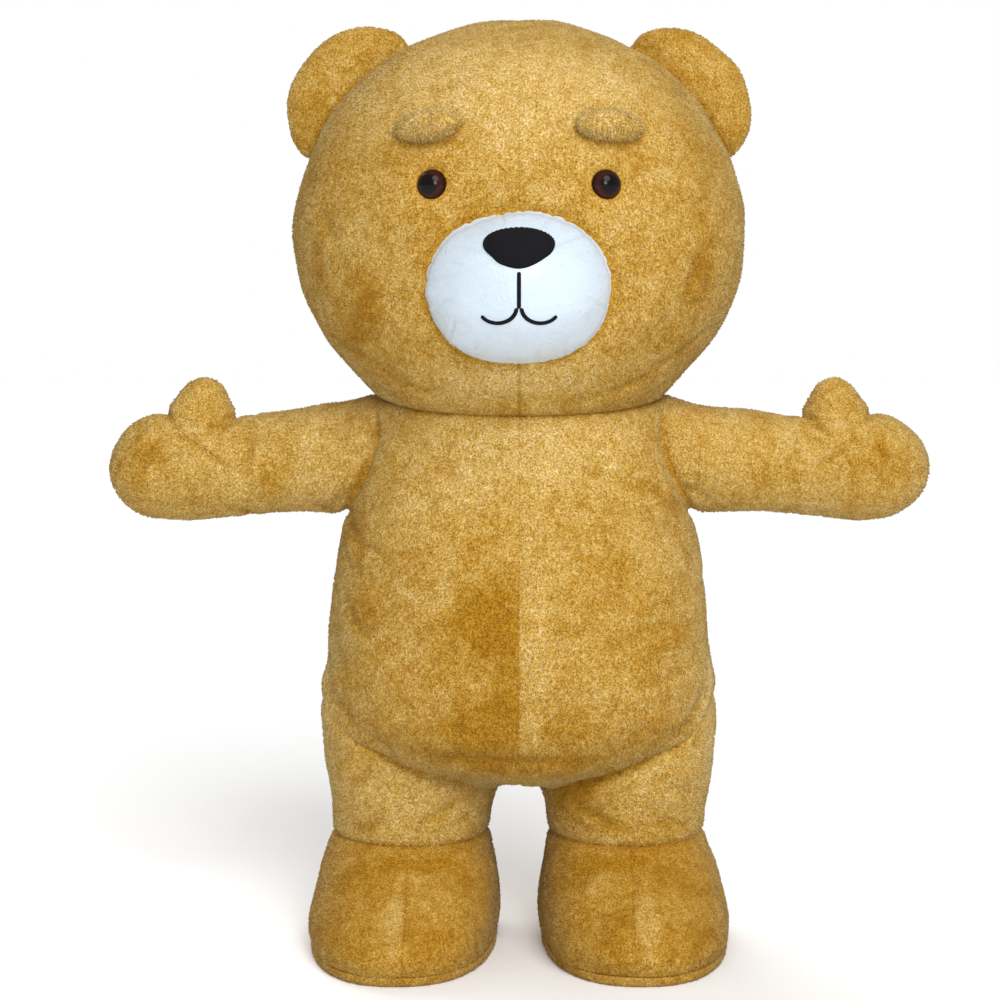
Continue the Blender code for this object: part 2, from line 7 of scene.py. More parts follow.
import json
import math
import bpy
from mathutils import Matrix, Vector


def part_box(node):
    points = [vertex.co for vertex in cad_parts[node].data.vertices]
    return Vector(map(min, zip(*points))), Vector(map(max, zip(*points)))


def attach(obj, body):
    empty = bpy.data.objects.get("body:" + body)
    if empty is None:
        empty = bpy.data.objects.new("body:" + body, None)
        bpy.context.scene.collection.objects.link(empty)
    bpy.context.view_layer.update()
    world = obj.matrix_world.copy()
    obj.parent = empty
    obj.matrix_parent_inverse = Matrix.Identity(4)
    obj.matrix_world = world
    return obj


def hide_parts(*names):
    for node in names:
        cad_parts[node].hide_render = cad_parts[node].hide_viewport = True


bl_info = {
    "name": "Bear Mascot Costume",
    "version": (1, 0, 0),
    "blender": (4, 5, 0),
    "location": "View3D > Sidebar > Costume",
    "description": "Makes the plush, the face, the zip and the stage of a bear mascot costume",
    "category": "Object",
}

import zlib
from collections import namedtuple

import bmesh
import bpy
import numpy as np
from bpy.props import FloatProperty, FloatVectorProperty, IntProperty, PointerProperty
from bpy.types import Operator, Panel, PropertyGroup
from mathutils import Matrix, Vector

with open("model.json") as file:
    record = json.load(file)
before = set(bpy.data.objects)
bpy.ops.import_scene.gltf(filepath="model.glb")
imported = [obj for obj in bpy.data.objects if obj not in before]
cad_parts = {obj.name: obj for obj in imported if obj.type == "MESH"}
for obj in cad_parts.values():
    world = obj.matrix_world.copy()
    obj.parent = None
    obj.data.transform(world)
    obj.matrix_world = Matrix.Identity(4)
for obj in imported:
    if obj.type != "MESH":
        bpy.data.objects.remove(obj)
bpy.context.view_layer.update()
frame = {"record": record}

COSTUME = "costume"
PULL = "zip_pull"
SIDES = (("left", 1), ("right", -1))
QUARTER_TURN = 0.5 * math.pi
FULL_TURN = 2.0 * math.pi

# The side seams of the head lie in one plane, half a seam gap behind its face panels
SEAM_GAP = 0.0003
SEAM_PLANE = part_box("head_face_left")[1].y + 0.5 * SEAM_GAP
TO_FRAME = np.array([0.0, SEAM_PLANE, 0.0])

# The plush: its wall, how deep its backing lies, the allowance turned in along a seam, and
# how far the backing and the pile run in under a neighbour
PLUSH = 0.005
BACKING_DEPTH = PLUSH - 0.0022
TURN_IN = 0.009
UNDERLAP = 0.030
PILE_UNDERLAP = 0.004

# How far the cloth fills out where a limb runs smoothly into the trunk
FILLET = 0.010

# How far beside a seam the zip calms the lumps, level seams keep the cloth level, the pile is
# shorter, and the pile is parted and darkened with painted seam shade
CALM_REACH = 0.035
LEVEL_REACH = 0.022
SHORT_REACH = 0.006
PARTED_SHADE_REACH = 0.0045

# The most that a seam takes off the pile, as a share, and the depth of seam that takes it all
MOST_SHORTENED = 0.8
SHORT_DEPTH = 0.007

# How strongly a tuft falls with gravity, falls outward on an arm, leans with its clump and strays
PILE_FALL = 0.70
ARM_FALL = 1.4
PILE_CLUMP = 0.40
PILE_STRAY = 0.34

# How deep a tuft's root sinks into the backing, and how far the pile stays off the floor
ROOT_SINK = 0.0006
FLOOR_GAP = 0.0004


def table(kind, *rows):
    """Rows with named columns."""
    return tuple(kind(*row) for row in rows)


# Level rings of the head, trunk, legs, feet and thumbs. Front and back are depths from the middle,
# square is the exponent of the outline (2 is an ellipse), and tilt is the rise per metre
# towards the back.
Ring = namedtuple("Ring", "height centre half_width front back square tilt", defaults=(0.0,))

NECK = Ring(1.188, 0.0, 0.302, 0.264, 0.252, 2.1, 0.133)

HEAD = table(
    Ring,
    NECK,
    (1.240, 0.0, 0.351, 0.312, 0.290, 2.1, 0.110),
    (1.315, 0.0, 0.415, 0.366, 0.335, 2.15, 0.070),
    (1.410, 0.0, 0.462, 0.403, 0.368, 2.2, 0.030),
    (1.510, 0.0, 0.480, 0.418, 0.385, 2.2),
    (1.610, 0.0, 0.472, 0.414, 0.385, 2.2),
    (1.705, 0.0, 0.440, 0.390, 0.366, 2.15),
    (1.795, 0.0, 0.388, 0.346, 0.326, 2.1),
    (1.875, 0.0, 0.314, 0.280, 0.266, 2.05),
    (1.932, 0.0, 0.216, 0.193, 0.185, 2.0),
    (1.970, 0.0, 0.106, 0.095, 0.091, 2.0),
    (1.982, 0.0, 0.0, 0.0, 0.0, 2.0),
)

TORSO = table(
    Ring,
    (0.356, 0.0, 0.0, 0.0, 0.0, 2.0),
    (0.362, 0.0, 0.130, 0.115, 0.105, 2.0),
    (0.382, 0.0, 0.245, 0.208, 0.192, 2.1),
    (0.424, 0.0, 0.335, 0.276, 0.256, 2.2),
    (0.485, 0.0, 0.390, 0.318, 0.294, 2.25),
    (0.565, 0.0, 0.414, 0.338, 0.312, 2.25),
    (0.670, 0.0, 0.413, 0.340, 0.314, 2.2),
    (0.780, 0.0, 0.402, 0.330, 0.307, 2.2),
    (0.890, 0.0, 0.383, 0.314, 0.295, 2.2, 0.02),
    (1.000, 0.0, 0.358, 0.296, 0.281, 2.2, 0.05),
    (1.100, 0.0, 0.330, 0.279, 0.266, 2.15, 0.09),
    NECK,
)

ANKLE = Ring(0.238, 0.236, 0.170, 0.170, 0.170, 2.1)

LEG = table(
    Ring,
    ANKLE,
    (0.300, 0.235, 0.176, 0.176, 0.174, 2.15),
    (0.366, 0.237, 0.184, 0.184, 0.180, 2.2),
    (0.432, 0.238, 0.187, 0.184, 0.182, 2.2),
    (0.500, 0.236, 0.184, 0.172, 0.172, 2.2),
    (0.560, 0.232, 0.172, 0.155, 0.155, 2.2),
)

FOOT = table(
    Ring,
    (0.020, 0.250, 0.202, 0.378, 0.184, 2.4),
    (0.052, 0.250, 0.206, 0.384, 0.190, 2.4),
    (0.090, 0.247, 0.204, 0.364, 0.192, 2.35),
    (0.128, 0.243, 0.198, 0.312, 0.190, 2.25),
    (0.166, 0.240, 0.190, 0.258, 0.184, 2.2),
    (0.204, 0.237, 0.179, 0.207, 0.176, 2.15),
    ANKLE,
)

# How far out the seam down the middle of a foot is
FOOT_SEAM = 0.236

SOLE = table(
    Ring,
    (0.000, 0.250, 0.195, 0.371, 0.177, 2.4),
    (0.007, 0.250, 0.201, 0.377, 0.183, 2.4),
    (0.020, 0.250, 0.202, 0.378, 0.184, 2.4),
)

THUMB = table(
    Ring,
    (1.060, 0.688, 0.072, 0.050, 0.050, 2.0),
    (1.118, 0.686, 0.084, 0.056, 0.056, 2.0),
    (1.152, 0.684, 0.075, 0.054, 0.054, 2.0),
    (1.182, 0.681, 0.056, 0.050, 0.050, 2.0),
    (1.211, 0.680, 0.039, 0.037, 0.037, 2.0),
    (1.229, 0.680, 0.0, 0.0, 0.0, 2.0),
)

# Upright sections of the arm and mitten, along their reach from the middle
Section = namedtuple("Section", "reach height half_height half_depth square", defaults=(2.1,))

ARM = table(
    Section,
    (0.220, 1.060, 0.122, 0.118),
    (0.330, 1.057, 0.124, 0.120),
    (0.390, 1.053, 0.120, 0.116),
    (0.460, 1.049, 0.115, 0.109),
    (0.530, 1.044, 0.110, 0.101),
    (0.590, 1.036, 0.108, 0.096),
    (0.650, 1.034, 0.112, 0.097),
    (0.710, 1.033, 0.116, 0.099),
    (0.760, 1.034, 0.116, 0.096),
    (0.806, 1.032, 0.109, 0.088, 2.15),
    (0.846, 1.030, 0.086, 0.071),
    (0.874, 1.029, 0.051, 0.043, 2.0),
    (0.887, 1.028, 0.0, 0.0, 2.0),
)

# Rounded lobes: where the middle is, the half sizes, and the turns about X, Y and Z
Lobe = namedtuple("Lobe", "middle radii turn taper", defaults=((0.0, 0.0, 0.0), 0.0))

EAR = Lobe((0.344, 0.020, 1.816), (0.145, 0.068, 0.168), (0.0, -44.0, 0.0))
MUZZLE = Lobe((0.0, -0.325, 1.420), (0.196, 0.188, 0.166))
NOSE = Lobe((0.0, -0.486, 1.482), (0.066, 0.030, 0.046), (-22.0, 0.0, 0.0), 0.32)
BROW = Lobe((0.178, -0.357, 1.726), (0.074, 0.040, 0.033), (-20.0, 6.0, 26.0))
EYE = Lobe((0.170, -0.381, 1.612), (0.031, 0.027, 0.031), (0.0, 0.0, 22.0))

# The muzzle's cloth runs from its front pole to this lean
MUZZLE_END = math.radians(112.0)
MUZZLE_CELL = 0.0052
BROW_CELL = 0.006

# The mouth: the heights of its stem's ends, and the radius and sweep of its curls
MOUTH_TOP = 1.436
MOUTH_HEIGHT = 1.372
MOUTH_CURL = 0.036
MOUTH_SWEEP = math.radians(150.0)

# The zip: the heights of its ends and its slider, and the half widths of its slot and tape
ZIP_BOTTOM = 0.520
ZIP_TOP = 1.120
SLIDER_HEIGHT = 1.090
SLOT_HALF = 0.007
TAPE_HALF = 0.016
TAPE_MARGIN = 0.012

# How far a seam draws the cloth in and over what reach, and its depth below a height
Seam = namedtuple("Seam", "depth reach deep below", defaults=(0.0, 0.0))

SEAMS = {
    "neck": Seam(0.0085, 0.011),
    "face middle": Seam(0.0008, 0.005, 0.0046, 1.290),
    "head middle": Seam(0.0010, 0.006, 0.0030, 1.290),
    "head side": Seam(0.0016, 0.007, 0.0030, 1.330),
    "belly": Seam(0.0018, 0.007),
    "back": Seam(0.0024, 0.007),
    "flank": Seam(0.0022, 0.007),
    "armhole": Seam(0.0072, 0.011),
    "arm": Seam(0.0020, 0.006),
    "thumb root": Seam(0.0036, 0.010),
    "leg top": Seam(0.0075, 0.013),
    "leg": Seam(0.0020, 0.006),
    "ankle": Seam(0.0044, 0.009),
    "foot": Seam(0.0024, 0.007),
    "welt": Seam(0.0016, 0.005),
    "ear rim": Seam(0.0022, 0.008),
    "ear root": Seam(0.0060, 0.012),
    "muzzle rim": Seam(0.0045, 0.010),
    "eye seat": Seam(0.0040, 0.012),
    "brow root": Seam(0.0030, 0.010),
}

# Where two forms meet at an angle, both panels are drawn the same level way
LEVEL_SEAMS = ("neck", "ankle", "welt")

# Soft creases pressed into the cloth: from one place to another on a form, by the
# angle round it and the way along it, with a bow to the side. A ridge has a negative depth.
# On the trunk 270 is the front, 0 the bear's left and 180 its right.
Crease = namedtuple("Crease", "angle way to_angle to_way bow depth width")

TORSO_CREASES = table(
    Crease,
    (284, 1.075, 343, 0.946, -0.012, 0.0084, 0.019),
    (296, 1.010, 338, 0.905, 0.014, 0.0060, 0.016),
    (290, 0.683, 331, 0.722, -0.012, 0.0064, 0.018),
    (301, 0.600, 337, 0.655, 0.010, 0.0048, 0.015),
    (188, 0.973, 232, 0.860, 0.022, 0.0084, 0.020),
    (196, 0.880, 226, 0.800, 0.012, 0.0056, 0.015),
    (204, 0.785, 226, 0.690, 0.014, 0.0068, 0.018),
    (232, 1.105, 256, 1.010, -0.010, 0.0052, 0.020),
    (352, 0.650, 318, 0.462, -0.020, 0.0092, 0.024),
    (188, 0.640, 223, 0.458, 0.020, 0.0088, 0.024),
    (243, 0.452, 297, 0.448, 0.006, 0.0060, 0.020),
    (246, 0.560, 262, 0.500, 0.008, 0.0044, 0.016),
    (14, 0.985, 52, 0.880, 0.015, 0.0080, 0.019),
    (22, 0.900, 60, 0.835, -0.012, 0.0056, 0.016),
    (166, 0.980, 124, 0.865, -0.016, 0.0084, 0.020),
    (160, 0.905, 128, 0.800, 0.010, 0.0054, 0.015),
    (30, 0.700, 70, 0.640, 0.014, 0.0064, 0.018),
    (150, 0.690, 112, 0.655, -0.012, 0.0060, 0.017),
    (10, 0.620, 48, 0.460, 0.020, 0.0088, 0.024),
    (171, 0.610, 134, 0.455, -0.020, 0.0084, 0.023),
    (60, 1.110, 78, 1.020, 0.008, 0.0052, 0.017),
    (118, 1.100, 103, 1.000, -0.010, 0.0056, 0.018),
    (78, 0.560, 88, 0.590, 0.004, 0.0048, 0.013),
    (101, 0.540, 92, 0.575, -0.004, 0.0044, 0.012),
    (80, 0.770, 88, 0.795, 0.004, 0.0036, 0.011),
    (100, 0.860, 92, 0.850, 0.003, 0.0036, 0.011),
    (79, 0.965, 88, 0.955, 0.003, 0.0040, 0.012),
    (359, 0.800, 340, 0.770, 0.008, 0.0056, 0.018),
    (182, 0.830, 205, 0.750, 0.008, 0.0048, 0.018),
)

HEAD_CREASES = table(
    Crease,
    (222, 1.260, 247, 1.225, 0.006, 0.0068, 0.016),
    (318, 1.262, 296, 1.224, -0.006, 0.0072, 0.017),
    (200, 1.340, 232, 1.262, 0.012, 0.0056, 0.020),
    (338, 1.350, 312, 1.268, -0.012, 0.0052, 0.018),
    (321, 1.500, 316, 1.370, 0.014, 0.0044, 0.020),
    (214, 1.560, 224, 1.430, -0.016, 0.0048, 0.022),
    (262, 1.225, 278, 1.222, 0.004, 0.0052, 0.013),
    (40, 1.260, 66, 1.222, 0.008, 0.0072, 0.017),
    (138, 1.255, 112, 1.225, -0.008, 0.0068, 0.016),
    (20, 1.345, 50, 1.275, 0.012, 0.0052, 0.018),
    (160, 1.350, 128, 1.270, -0.012, 0.0056, 0.020),
    (70, 1.560, 82, 1.430, 0.014, 0.0040, 0.022),
    (110, 1.700, 100, 1.580, 0.010, 0.0044, 0.020),
    (250, 1.800, 292, 1.812, 0.018, 0.0032, 0.026),
)

# On an arm 90 is the top, 180 the front, 270 the bottom and 0 the back
ARM_CREASES = table(
    Crease,
    (128, 0.352, 176, 0.415, 0.010, 0.0072, 0.015),
    (206, 0.350, 244, 0.430, -0.010, 0.0080, 0.016),
    (262, 0.372, 225, 0.470, 0.008, 0.0056, 0.014),
    (80, 0.372, 128, 0.450, -0.008, 0.0048, 0.014),
    (350, 0.366, 300, 0.430, 0.010, 0.0076, 0.016),
    (36, 0.360, 12, 0.440, 0.008, 0.0068, 0.015),
    (150, 0.566, 215, 0.596, 0.008, 0.0052, 0.014),
    (112, 0.604, 158, 0.640, 0.010, 0.0060, 0.013),
    (230, 0.600, 262, 0.560, 0.006, 0.0048, 0.013),
    (330, 0.590, 30, 0.572, 0.008, 0.0056, 0.014),
    (108, 0.752, 150, 0.704, 0.006, 0.0096, 0.012),
    (144, 0.716, 186, 0.610, -0.008, 0.0092, 0.012),
    (118, 0.624, 148, 0.672, 0.006, 0.0092, 0.011),
    (130, 0.768, 168, 0.822, 0.006, -0.0068, 0.012),
    (152, 0.762, 190, 0.808, 0.006, 0.0088, 0.013),
    (170, 0.850, 196, 0.868, 0.003, 0.0056, 0.010),
    (62, 0.702, 14, 0.740, 0.012, 0.0072, 0.015),
    (215, 0.690, 250, 0.770, 0.010, 0.0044, 0.016),
)

# On the muzzle the way along is the lean from its front, in degrees, and 90 is its top
MUZZLE_CREASES = table(
    Crease,
    (118, 38, 126, 68, 0.003, 0.0030, 0.0063),
    (136, 30, 150, 62, -0.004, 0.0038, 0.0072),
    (104, 44, 100, 74, 0.002, 0.0024, 0.0054),
    (72, 42, 64, 72, -0.003, 0.0028, 0.0054),
    (52, 34, 40, 70, 0.004, 0.0038, 0.0072),
    (28, 40, 20, 74, -0.003, 0.0028, 0.0063),
    (8, 46, 4, 78, 0.002, 0.0024, 0.0054),
    (172, 42, 178, 76, -0.003, 0.0030, 0.0063),
    (160, 36, 164, 58, 0.002, 0.0024, 0.0054),
    (196, 44, 202, 72, 0.003, 0.0030, 0.0063),
    (214, 50, 224, 76, -0.003, 0.0028, 0.0054),
    (238, 52, 246, 78, 0.002, 0.0028, 0.0054),
    (262, 54, 265, 80, 0.001, 0.0024, 0.0045),
    (283, 52, 280, 78, -0.002, 0.0028, 0.0054),
    (306, 48, 298, 76, 0.003, 0.0030, 0.0063),
    (328, 50, 322, 74, -0.002, 0.0024, 0.0054),
    (346, 44, 340, 76, 0.003, 0.0030, 0.0063),
    (130, 14, 168, 36, 0.005, 0.0024, 0.0081),
    (44, 16, 10, 38, -0.005, 0.0020, 0.0081),
)

LEG_CREASES = table(
    Crease,
    (232, 0.330, 266, 0.272, 0.006, 0.0080, 0.016),
    (220, 0.296, 248, 0.260, 0.004, 0.0044, 0.013),
    (286, 0.396, 318, 0.336, 0.010, 0.0072, 0.017),
    (284, 0.290, 322, 0.262, -0.005, 0.0060, 0.014),
    (30, 0.440, 60, 0.350, 0.010, 0.0072, 0.017),
    (72, 0.300, 118, 0.268, 0.006, 0.0072, 0.015),
    (130, 0.360, 164, 0.290, -0.008, 0.0064, 0.015),
    (16, 0.312, 44, 0.280, 0.004, 0.0056, 0.013),
)

FOOT_CREASES = table(
    Crease,
    (248, 0.205, 282, 0.212, 0.004, 0.0068, 0.013),
    (298, 0.196, 330, 0.150, 0.010, 0.0064, 0.016),
    (242, 0.190, 214, 0.150, -0.008, 0.0060, 0.015),
    (262, 0.168, 284, 0.160, 0.006, 0.0048, 0.016),
    (284, 0.064, 318, 0.088, 0.006, 0.0044, 0.018),
    (58, 0.205, 112, 0.196, 0.006, 0.0064, 0.014),
    (30, 0.150, 62, 0.090, 0.008, 0.0052, 0.016),
    (150, 0.140, 122, 0.080, -0.008, 0.0052, 0.016),
)

# Places where the nap lies another way, and places of painted light and painted shade: dark is below nought
# and pale above it
Spot = namedtuple("Spot", "angle way half_wide half_high turn strength panel", defaults=("",))

TORSO_SPOTS = table(
    Spot,
    (263, 0.740, 0.085, 0.075, 6, -1.15, "front_right"),
    (263, 0.510, 0.095, 0.070, 0, -1.25, "front_right"),
    (268, 0.640, 0.040, 0.150, 0, -0.70, "front_right"),
    (282, 0.520, 0.050, 0.040, 0, -0.50, "front_left"),
    (273, 0.760, 0.036, 0.190, 0, 0.30, "front_left"),
    (273, 0.600, 0.030, 0.110, 0, 0.45, "front_left"),
    (202, 0.925, 0.050, 0.040, 38, -0.80),
    (218, 0.745, 0.045, 0.048, 20, -0.70),
    (230, 0.980, 0.050, 0.035, -20, 0.40),
    (240, 0.600, 0.050, 0.040, 10, -0.40),
    # Painted light: a pale patch on the chest below the neck
    (270, 1.110, 0.190, 0.090, 0, 0.78),
    (326, 0.985, 0.080, 0.022, -30, -0.55),
    (318, 0.690, 0.060, 0.024, 12, -0.50),
    (302, 0.780, 0.090, 0.120, 0, -0.25),
    # Painted light: pale patches on both hips, this row and the next
    (346, 0.560, 0.060, 0.100, 0, 1.10),
    (194, 0.550, 0.055, 0.100, 0, 0.90),
    # Painted shade: a dark band along the bottom of the belly, above the legs
    (270, 0.440, 0.200, 0.040, 0, -0.80),
    (310, 0.500, 0.070, 0.040, 20, -0.35),
    (40, 0.900, 0.060, 0.060, 0, -0.60),
    (140, 0.760, 0.060, 0.080, 0, -0.55),
    (84, 0.640, 0.050, 0.100, 0, -0.50, "back_left"),
    (60, 0.520, 0.080, 0.060, 0, 0.40),
    (120, 1.040, 0.070, 0.050, 0, 0.35),
)

HEAD_SPOTS = table(
    Spot,
    # Painted shade: a dark patch low on the right cheek
    (223, 1.349, 0.085, 0.040, 30, -0.90),
    (212, 1.480, 0.035, 0.060, 0, -0.55),
    (230, 1.410, 0.040, 0.022, 10, -0.85),
    (320, 1.455, 0.040, 0.090, 0, -0.80),
    # Painted shade: a dark patch low on the left cheek
    (312, 1.330, 0.070, 0.030, -24, -0.50),
    (236, 1.680, 0.050, 0.040, 30, -0.35),
    (200, 1.640, 0.040, 0.070, 0, -0.35),
    # Painted light: a pale patch on the forehead
    (268, 1.830, 0.260, 0.120, 0, 1.25),
    (300, 1.800, 0.050, 0.040, 0, 0.30),
    # Painted light: a pale patch on the chin
    (268, 1.255, 0.150, 0.045, 0, 1.10),
    (272, 1.700, 0.090, 0.060, 0, 0.35),
    (60, 1.560, 0.080, 0.090, 0, -0.50),
    (118, 1.420, 0.070, 0.060, 0, -0.45),
    (90, 1.780, 0.100, 0.060, 0, 0.35),
)

ARM_SPOTS = table(
    Spot,
    (196, 0.520, 0.050, 0.028, 0, -0.45),
    (160, 0.780, 0.034, 0.030, 0, -0.45),
    (184, 0.790, 0.090, 0.100, 0, -0.28),
    (222, 0.700, 0.050, 0.024, 0, -0.35),
    (140, 0.450, 0.060, 0.030, 0, 0.35),
    (10, 0.620, 0.050, 0.036, 0, -0.45),
)

LEG_SPOTS = table(
    Spot,
    # Painted light: a pale patch on the outside of the hip
    (342, 0.440, 0.060, 0.090, 0, 0.90),
    (224, 0.370, 0.080, 0.085, 0, -1.20, "left_front"),
    (262, 0.380, 0.090, 0.060, 0, 0.45, "right_front"),
    (258, 0.285, 0.050, 0.018, -20, -0.55),
    (300, 0.350, 0.050, 0.040, 0, 0.30),
    (84, 0.330, 0.060, 0.040, 0, -0.45),
)

FOOT_SPOTS = table(
    Spot,
    (262, 0.212, 0.075, 0.018, 0, -0.85),
    (300, 0.180, 0.050, 0.030, 0, -0.45),
    (274, 0.120, 0.024, 0.080, 0, 0.75, "outer"),
    (262, 0.110, 0.040, 0.060, 0, -0.30, "inner"),
    (320, 0.070, 0.060, 0.035, 0, -0.35),
    (90, 0.130, 0.070, 0.050, 0, -0.40),
)


def clamped(value):
    """A value kept between 0 and 1."""
    return np.clip(value, 0.0, 1.0)


def bell(gap, reach=1.0):
    """1 where the gap is nought, fading smoothly over the reach."""
    return np.exp(-((gap / reach) ** 2))


def unit(vectors):
    """Vectors brought to a length of one."""
    return vectors / np.maximum(np.linalg.norm(vectors, axis=-1, keepdims=True), 1e-9)


def steps(points, axis=0):
    """The distances from each point to the next."""
    return np.linalg.norm(np.diff(points, axis=axis), axis=-1)


def signed_power(value, power):
    """The power of each value's size, with the value's sign."""
    return np.sign(value) * np.abs(value) ** power


def smooth_rows(rows, spacing=0.004):
    """A table's rows joined by a smooth curve and read every few millimetres.

    A pointed end is run on as its own mirror image, so that it comes out round.
    """
    widths = slice(2, 5)
    ends = []
    for end, neighbour in ((rows[0], rows[1]), (rows[-1], rows[-2])):
        beyond = 2.0 * end - neighbour
        if end[2] == 0.0:
            beyond = neighbour.copy()
            beyond[widths] *= -1.0
        ends.append(beyond)
    rows = np.vstack([ends[0], rows, ends[1]])
    spans = steps(rows[:, [0, 2]])[:, None]
    rates = np.diff(rows, axis=0) / spans
    before, after = spans[:-1], spans[1:]
    slopes = (rates[:-1] * after + rates[1:] * before) / (before + after)
    read = []
    for k in range(1, len(rows) - 2):
        span = spans[k, 0]
        count = max(2, math.ceil(span / spacing))
        t = (np.arange(count) / count)[:, None]
        leave, meet = slopes[k - 1] * span, slopes[k] * span
        read.append(
            (2 * t**3 - 3 * t**2 + 1) * rows[k]
            + (t**3 - 2 * t**2 + t) * leave
            + (3 * t**2 - 2 * t**3) * rows[k + 1]
            + (t**3 - t**2) * meet
        )
    return np.vstack([*read, rows[-2][None]])


class Form:
    """A rounded form through a table's rings, read by the angle round it and the way along it."""

    # The steepest slope that still cuts down a gap outside the form
    steepest = 3.0

    def __init__(self, rows, side=1):
        self.side = side
        self.upright = isinstance(rows[0], Section)
        if self.upright:
            rows = [
                (r.reach, r.height, r.half_height, r.half_depth, r.half_depth, r.square, 0.0)
                for r in rows
            ]
        self.table = smooth_rows(np.array(rows, float))
        self.profile = np.concatenate([[0.0], np.cumsum(steps(self.table[:, [0, 2]]))])
        self.levels = np.maximum.accumulate(self.table[:, 0]) + 1e-9 * np.arange(len(self.table))
        self.slopes = np.gradient(self.table[:, 2], self.levels)

    def columns(self, along):
        """The table's columns at some distances along the profile."""
        return [np.interp(along, self.profile, column) for column in self.table.T]

    def along(self, way):
        """How far along the profile a height or a reach is."""
        return np.interp(way, self.levels, self.profile)

    def points(self, angle, along):
        """Points of the form at some angles, in radians, and distances along its profile."""
        way, middle, wide, front, back, square, tilt = self.columns(along)
        across = signed_power(np.cos(angle), 2.0 / square)
        rise = signed_power(np.sin(angle), 2.0 / square)
        if self.upright:
            x, y, z = way, front * across, middle + wide * rise
        else:
            x = middle + wide * across
            y = np.where(rise > 0.0, back, front) * rise
            z = way + tilt * y
        return np.stack(np.broadcast_arrays(self.side * x, y, z), axis=-1)

    def depth(self, points):
        """Roughly how deep inside the form some points are, and below nought outside it."""
        x, y, z = self.side * points[..., 0], points[..., 1], points[..., 2]
        way = x if self.upright else z - y * np.interp(z, self.levels, self.table[:, 6])
        _, middle, wide, front, back, square, _ = self.columns(self.along(way))
        across = (z if self.upright else x) - middle
        deep = np.where(y > 0.0, back, front)
        wide, deep = np.maximum(wide, 1e-4), np.maximum(deep, 1e-4)
        share = (np.abs(across / wide) ** square + np.abs(y / deep) ** square) ** (1.0 / square)
        away = np.hypot(across, y)
        room = np.where(share > 1e-3, away / np.maximum(share, 1e-3), deep) - away
        slope = np.abs(np.interp(way, self.levels, self.slopes))
        inside = room / np.sqrt(1.0 + np.where(room < 0.0, np.minimum(slope, self.steepest), slope) ** 2)
        return np.minimum(inside, np.minimum(way - self.levels[0], self.levels[-1] - way))

    def girth_angle(self, along, offset):
        """The angle, past the side, at which the ring is a distance out from the middle."""
        _, middle, wide, _, _, square, _ = self.columns(along)
        share = np.clip((offset - middle) / np.maximum(wide, 1e-6), -1.0, 1.0)
        return np.arccos(signed_power(share, square / 2.0))

    def centre(self):
        """A point in the middle of the form."""
        way, middle = self.table[len(self.table) // 2, :2]
        x, z = (way, middle) if self.upright else (middle, way)
        return np.array([self.side * x, 0.0, z])


class LobeForm:
    """A rounded lobe, read by the angle from its front pole and the angle round that."""

    def __init__(self, lobe, side=1):
        self.lobe = lobe
        self.flip = np.array([side, 1.0, 1.0])
        turn = Matrix.Identity(3)
        for degrees, axis in zip(lobe.turn, "XYZ"):
            turn = Matrix.Rotation(math.radians(degrees), 3, axis) @ turn
        self.turn = np.array(turn)
        self.radii = np.array(lobe.radii)
        self.middle = np.array(lobe.middle)

    def points(self, angle, lean):
        """Points of the lobe: the lean is from the front pole and the angle goes round it."""
        x, y, z = np.sin(lean) * np.cos(angle), -np.cos(lean), np.sin(lean) * np.sin(angle)
        ball = np.stack(np.broadcast_arrays(x, y, z), axis=-1)
        local = ball * self.radii
        local[..., 0] *= 1.0 + self.lobe.taper * ball[..., 2]
        return (local @ self.turn.T + self.middle) * self.flip

    def local(self, points):
        """Points as the lobe sees them, from its middle and along its own axes."""
        return (points * self.flip - self.middle) @ self.turn

    def depth(self, points):
        """Roughly how deep inside the lobe some points are, and below nought outside it."""
        ball = self.local(points) / self.radii
        ball[..., 0] /= 1.0 + self.lobe.taper * np.clip(ball[..., 2], -1.0, 1.0)
        share = np.linalg.norm(ball, axis=-1)
        slope = np.linalg.norm(ball / self.radii, axis=-1)
        return (1.0 - share) * share / np.maximum(slope, 1e-6)

    def along(self, way):
        """The lean in radians for a lean in degrees."""
        return np.radians(way)

    def centre(self):
        """The middle of the lobe."""
        return self.middle * self.flip


FORMS = {"head": Form(HEAD), "torso": Form(TORSO), "muzzle": LobeForm(MUZZLE), "nose": LobeForm(NOSE)}
for side_name, side_sign in SIDES:
    for form_name, rings in (("arm", ARM), ("thumb", THUMB), ("leg", LEG), ("foot", FOOT), ("sole", SOLE)):
        FORMS[form_name, side_name] = Form(rings, side_sign)
    for form_name, lobe_shape in (("ear", EAR), ("brow", BROW), ("eye", EYE)):
        FORMS[form_name, side_name] = LobeForm(lobe_shape, side_sign)


